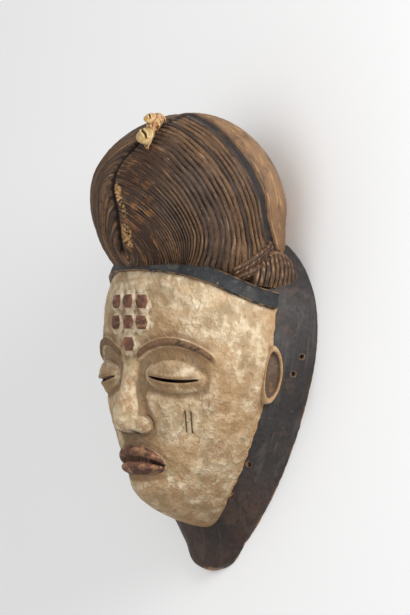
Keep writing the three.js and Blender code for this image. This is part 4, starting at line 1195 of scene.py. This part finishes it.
class MASK_OT_side_hair(bpy.types.Operator):
    """Carve the smooth ribbons of hair and the ridged side buns"""

    bl_idname = "mask.side_hair"
    bl_label = "Side hair"

    def execute(self, context):
        look = context.scene.mask_colours
        parts, grooves, shades, edges = [], [], [], []
        v = np.linspace(-1, 1, 26)[None]
        for k, ((angle_from, y_from), (angle_to, y_to)) in enumerate(RIBBONS):
            t = np.linspace(0, 1, 90)[:, None]
            angle = np.radians(angle_from + (angle_to - angle_from) * t)
            y = y_from + (y_to - y_from) * t
            strands = 1 - np.abs(np.cos(1.5 * np.pi * (v + 0.12 * np.sin(5 * t)))) ** 0.5
            rise = (RIBBON_RISE + SECOND_RIBBON_RISE * k) * (1 - np.abs(v) ** 3) ** 0.5
            rise = rise - 0.5 * strands * (np.abs(v) < 0.9)
            body = on_hair(angle - 0.03 * v, y + 0.8 * v * RIBBON_HALF, rise)
            feet = [on_hair(angle - 0.03 * s, y + 0.8 * s * RIBBON_HALF, -9) for s in (-1, 1)]
            parts.append(np.concatenate([feet[0], body, feet[1]], 1))
            grooves.append(np.pad(strands * (np.abs(v) < 0.9) + 0 * t, ((0, 0), (1, 1)), constant_values=1))
            shades.append(0.5 + 0 * grooves[-1])
            edges.append(0 * grooves[-1])
        foot = hull_half_width(np.float64(BUN_FOOT_Y)) - 16
        q = np.linspace(-0.985, 0.985, 200)[:, None]
        full = np.sqrt(1 - q**2)
        s = np.linspace(0, 1, 46)[None]
        phase = BUN_RIDGES * (q + 1) / 2 + 0.25 * s * (q > 0.2) * q
        rim = smooth(s, 0.9, 0.95) + smooth(-q, 0.9, 0.95)
        groove = (1 - np.abs(np.sin(np.pi * phase)) ** 0.6) * (1 - np.clip(rim, 0, 1))
        rise = BUN_RISE * (0.35 + 0.65 * full) - 1.9 * groove
        top = BUN_HEIGHT * (0.25 + 0.75 * full)
        out = through((0, 0.85), (0.3, 1), (0.55, 0.93), (0.75, 0.72), (0.92, 0.42), (1, 0.2))(s)
        body = xyz(foot + rise * out, BUN_FOOT_Y + s * top, BUN_MIDDLE_Z + q * BUN_LENGTH / 2)
        back = [xyz(foot - 14, BUN_FOOT_Y + up * top, BUN_MIDDLE_Z + q * BUN_LENGTH / 2) for up in (0, 1)]
        parts.append(np.concatenate([back[0], body, back[1]], 1))
        grooves.append(np.pad(groove, ((0, 0), (1, 1))))
        shade = np.random.default_rng(9).uniform(0, 1, 40)[np.floor(phase).astype(int)]
        shades.append(np.pad(shade, ((0, 0), (1, 1))))
        edges.append(np.pad(np.clip(rim, 0, 1) + 0 * groove, ((0, 0), (1, 1))))
        parts = [p + 0.2 * waves(p, 12, 61)[..., None] for p in parts]
        zero = [np.zeros_like(g) for g in grooves * 2]
        streaks = [0.5 + 0.5 * waves(p * (1, 0.2, 1), 2.5, 64) for p in parts * 2]
        values = {"groove": grooves * 2, "band": zero, "shade": shades * 2}
        values["chips"] = [0.45 * e for e in edges * 2]
        values["strands_and_highlights"] = streaks
        values["back"] = [z + 0.12 for z in zero]
        values["worn"] = [z + 0.35 for z in zero]
        piece = skin("side_hair", both_sides(parts), values)
        finished(piece, hair_finish(look), 60)
        return {"FINISHED"}


def on_crown(distance, across, height):
    """A place by its distance along the hair from the middle of the hairline, and how far aside it is."""
    distance, across, height = np.broadcast_arrays(distance, across, height)
    direction = from_corner(distance / HAIR_RADIUS, 0 * distance)
    direction = direction + (across / HAIR_RADIUS)[..., None] * LEFTWARD
    direction /= np.linalg.norm(direction, axis=-1)[..., None]
    return on_hair_direction(direction, height / HAIR_RADIUS)


def cowrie(place, length, width, height, foot):
    """A shell as an egg-shaped dome over a flat foot, with a slit of small ridges along its crown. It is
    set out on the tie's middle line, its long way turned by the shells' slant."""
    q = np.linspace(-0.995, 0.995, 110)[:, None]
    egg = np.sqrt(1 - q**2) * (1 - 0.18 * q)
    turn = np.linspace(0, 2 * np.pi, 90, endpoint=False)[None]
    u = np.sin(turn)
    rise = 0.5 + 0.5 * np.cos(turn)
    upper = smooth(np.cos(turn), 0, 0.3)
    off = u + 0.1 * q + 0.14 * np.sin(np.pi * q)
    slit = np.exp(-((off / 0.11) ** 2)) * upper * smooth(-np.abs(q), -0.86, -0.7)
    ridges = 0.5 + 0.5 * np.sin(q * 46)
    lips = np.exp(-(((np.abs(off) - 0.27) / 0.12) ** 2)) * upper * smooth(-np.abs(q), -0.85, -0.6)
    lift = foot + height * egg**0.6 * rise**0.8 - 0.34 * height * slit
    lift = lift + 0.1 * height * lips * (0.6 + 0.4 * ridges)
    forward, aside = q * length / 2, width / 2 * egg * u
    distance, across = TIE_FROM + place * (TIE_TO - TIE_FROM)
    up = distance + forward * np.cos(SHELL_SLANT) + aside * np.sin(SHELL_SLANT)
    points = on_crown(up, across - forward * np.sin(SHELL_SLANT) + aside * np.cos(SHELL_SLANT), lift)
    pale = np.clip(lips + smooth(np.abs(u), 0.8, 1) + smooth(np.abs(q), 0.8, 0.95), 0, 1) * (1 - slit)
    # The masks: the slit, the lower edge of the dome for painted shade at the foot, and the pale lips,
    # sides and ends
    return points, slit, smooth(-rise, -0.3, 0) + 0 * q, pale


class MASK_OT_shells(bpy.types.Operator):
    """Shape both cowrie shells on the crown"""

    bl_idname = "mask.shells"
    bl_label = "Shells"

    def execute(self, context):
        look = context.scene.mask_colours
        lower = cowrie(COWRIE_PLACE, COWRIE_LENGTH, COWRIE_WIDTH, COWRIE_HEIGHT, LOWER_FOOT)
        small = (SMALL_COWRIE_LENGTH, SMALL_COWRIE_WIDTH, SMALL_COWRIE_HEIGHT)
        upper = cowrie(SMALL_COWRIE_PLACE, *small, UPPER_FOOT)
        straw = tuple(c * s for c, s in zip(look.shell, (1.1, 0.9, 0.8)))
        for name, node, slot, made, colour in (
            ("lower_cowrie", "cowrie_lower", "shell", lower, tuple(look.shell)),
            ("upper_cowrie", "cowrie_upper", "shell_pale", upper, straw),
        ):
            points, slit, base, pale = made
            piece = skin(name, [points], {"slit": [slit], "foot": [base], "pale": [pale]})
            # The last colour is the painted shade in the slit
            finished(piece, shell_finish(name, colour, (0.012, 0.006, 0.004)), 60)
            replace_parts(piece, node)
        return {"FINISHED"}


class MASK_OT_fibre_tie(bpy.types.Operator):
    """Wind the fibre strands that hold the shells, and their knot"""

    bl_idname = "mask.fibre_tie"
    bl_label = "Fibre tie"

    def execute(self, context):
        look, sizes = context.scene.mask_colours, context.scene.mask_sizes
        rng = np.random.default_rng(7)
        parts, shades = [], []
        t = np.linspace(0, 1, 44)[:, None]
        turn = np.linspace(0, 2 * np.pi, 8, endpoint=False)[None]
        # The bundle's height and half width along the tie: its height reaches the feet of both shells
        bundle = through((0, 0.7), (0.06, 1.1), (0.46, 1.15), (0.54, 2.55), (0.84, 2.6), (1, 0.9))
        spread = through((0, 0.3), (0.25, 0.75), (0.6, 0.85), (0.78, 1.2), (0.92, 1.2), (1, 0.6))
        for k in range(sizes.strands):
            if k % 2:
                spin = 2 * np.pi * t * rng.uniform(0.7, 1.1) + rng.uniform(0, 6)
                wide, high = TIE_WIDTH * rng.uniform(0.45, 0.85), TIE_HEIGHT * rng.uniform(0.7, 1.3)
                share = rng.uniform(0.66, 0.97) + 0.07 * np.sin(spin * 0.5 + k)
                aside = wide * np.cos(spin)
                height = 1.2 * TIE_HEIGHT + high * np.sin(spin)
            else:
                start, end = rng.uniform(0, 0.3), rng.uniform(0.72, 1.02)
                share = start + (end - start) * t
                aside = TIE_WIDTH / 2 * spread(share) * rng.uniform(-1, 1) + 0.5 * np.sin(9 * t + k)
                height = GAP + TIE_HEIGHT * bundle(share) * (0.12 + 0.88 * (k + 1) / sizes.strands)
            distance, across = (TIE_FROM[i] + share * (TIE_TO - TIE_FROM)[i] for i in (0, 1))
            path = on_crown(distance, across + aside, np.maximum(0.8, height))[:, 0]
            ways = np.gradient(path, axis=0)
            ways /= np.linalg.norm(ways, axis=1)[:, None]
            side = np.cross(ways, (0.3, 0.5, 0.8))
            side /= np.linalg.norm(side, axis=1)[:, None]
            up = np.cross(side, ways)
            radius = rng.uniform(0.35, 0.75) * (1 - 0.5 * np.abs(2 * t - 1) ** 4)
            ring = np.cos(turn)[..., None] * side[:, None] + 0.7 * np.sin(turn)[..., None] * up[:, None]
            parts.append(path[:, None] + radius[..., None] * ring)
            shades.append(np.full(parts[-1].shape[:2], rng.uniform(0, 1)))
        piece = skin("tie_strands", parts, {"shade": shades})
        finished(piece, fibre_finish(look), 80)
        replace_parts(piece, "fibre_tie")
        return {"FINISHED"}


# Camera, in the carving's millimetres: its direction, and where its middle ray passes
TOWARDS_CAMERA = np.array([0.7986, -0.0941, 0.5944])
CAMERA_RIGHT = np.array([0.6018, 0.1249, -0.7888])
PIXEL = 0.742
PHOTO_SIZE = (410, 615)
ORIGIN_PIXEL = (242.6, 340)
CAMERA_DISTANCE = 5000
SENSOR = 36


class MASK_OT_stage(bpy.types.Operator):
    """Lay the floor and set up soft light and the camera"""

    bl_idname = "mask.stage"
    bl_label = "Stage"

    def execute(self, context):
        scene = context.scene
        floor_mesh = bpy.data.meshes.new("floor")
        reach = 12
        corners = [(-reach, -reach, 0), (reach, -reach, 0), (reach, reach, 0), (-reach, reach, 0)]
        floor_mesh.from_pydata(corners, [], [(0, 1, 2, 3)])
        floor = bpy.data.objects.new("floor", floor_mesh)
        paint = bpy.data.materials.new("floor paint")
        paint.use_nodes = True
        shader = paint.node_tree.nodes["Principled BSDF"]
        shader.inputs["Base Color"].default_value = (0.86, 0.86, 0.86, 1)
        shader.inputs["Roughness"].default_value = 0.9
        shader.inputs["Specular IOR Level"].default_value = 0.1
        floor_mesh.materials.append(paint)
        scene.collection.objects.link(floor)
        world = bpy.data.worlds.new("studio")
        world.use_nodes = True
        world.node_tree.nodes["Background"].inputs[0].default_value = (1, 1, 1, 1)
        world.node_tree.nodes["Background"].inputs[1].default_value = 0.6
        scene.world = world
        up = np.cross(TOWARDS_CAMERA, CAMERA_RIGHT)
        for name, place, size, power in (
            ("key", 1100 * TOWARDS_CAMERA + 700 * up + 700 * CAMERA_RIGHT, 0.9, 26),
            ("fill", 1100 * TOWARDS_CAMERA + 200 * up - 1000 * CAMERA_RIGHT, 1.2, 7),
        ):
            lamp = bpy.data.lights.new(name, "AREA")
            lamp.shape, lamp.size, lamp.energy = "DISK", size, power
            holder = bpy.data.objects.new(name, lamp)
            holder.location = Vector(place) / 1000
            holder.rotation_euler = (-holder.location).to_track_quat("-Z", "Y").to_euler()
            scene.collection.objects.link(holder)
        scene.view_settings.view_transform = "Standard"
        camera = bpy.data.cameras.new("camera")
        camera.sensor_width = SENSOR
        camera.lens = SENSOR * CAMERA_DISTANCE / (PIXEL * PHOTO_SIZE[1])
        camera.clip_end = 100
        aim = (PHOTO_SIZE[0] / 2 - ORIGIN_PIXEL[0]) * PIXEL * CAMERA_RIGHT
        aim = aim + (ORIGIN_PIXEL[1] - PHOTO_SIZE[1] / 2) * PIXEL * up + (0, SHIFT_Y, 0)
        place = (aim + CAMERA_DISTANCE * TOWARDS_CAMERA) / 1000
        holder = bpy.data.objects.new("camera", camera)
        turned = Matrix(np.stack([CAMERA_RIGHT, up, TOWARDS_CAMERA], 1).tolist()).to_4x4()
        holder.matrix_world = Matrix.Translation(Vector(place)) @ turned
        scene.collection.objects.link(holder)
        scene.camera = holder
        return {"FINISHED"}


class MASK_PT_panel(bpy.types.Panel):
    """Lists the mask's pieces"""

    bl_idname = "MASK_PT_panel"
    bl_label = "Carved mask"
    bl_space_type = "VIEW_3D"
    bl_region_type = "UI"
    bl_category = "Mask"

    def draw(self, context):
        for values in (context.scene.mask_sizes, context.scene.mask_colours):
            for key in values.__annotations__:
                self.layout.prop(values, key)
        for operator in PIECES:
            self.layout.operator(operator.bl_idname)


PIECES = (
    MASK_OT_collar,
    MASK_OT_face,
    MASK_OT_ears,
    MASK_OT_headband,
    MASK_OT_coiffure,
    MASK_OT_side_hair,
    MASK_OT_shells,
    MASK_OT_fibre_tie,
    MASK_OT_stage,
)
CLASSES = (MaskSizes, MaskColours, *PIECES, MASK_PT_panel)


def register():
    for made in CLASSES:
        bpy.utils.register_class(made)
    bpy.types.Scene.mask_sizes = PointerProperty(type=MaskSizes)
    bpy.types.Scene.mask_colours = PointerProperty(type=MaskColours)


def unregister():
    del bpy.types.Scene.mask_colours
    del bpy.types.Scene.mask_sizes
    for made in reversed(CLASSES):
        bpy.utils.unregister_class(made)


def main():
    register()
    for make_group in (patches_group, grain_group):
        make_group()
    for operator in PIECES:
        group_name, name = operator.bl_idname.split(".")
        getattr(getattr(bpy.ops, group_name), name)()


if __name__ == "__main__":
    main()
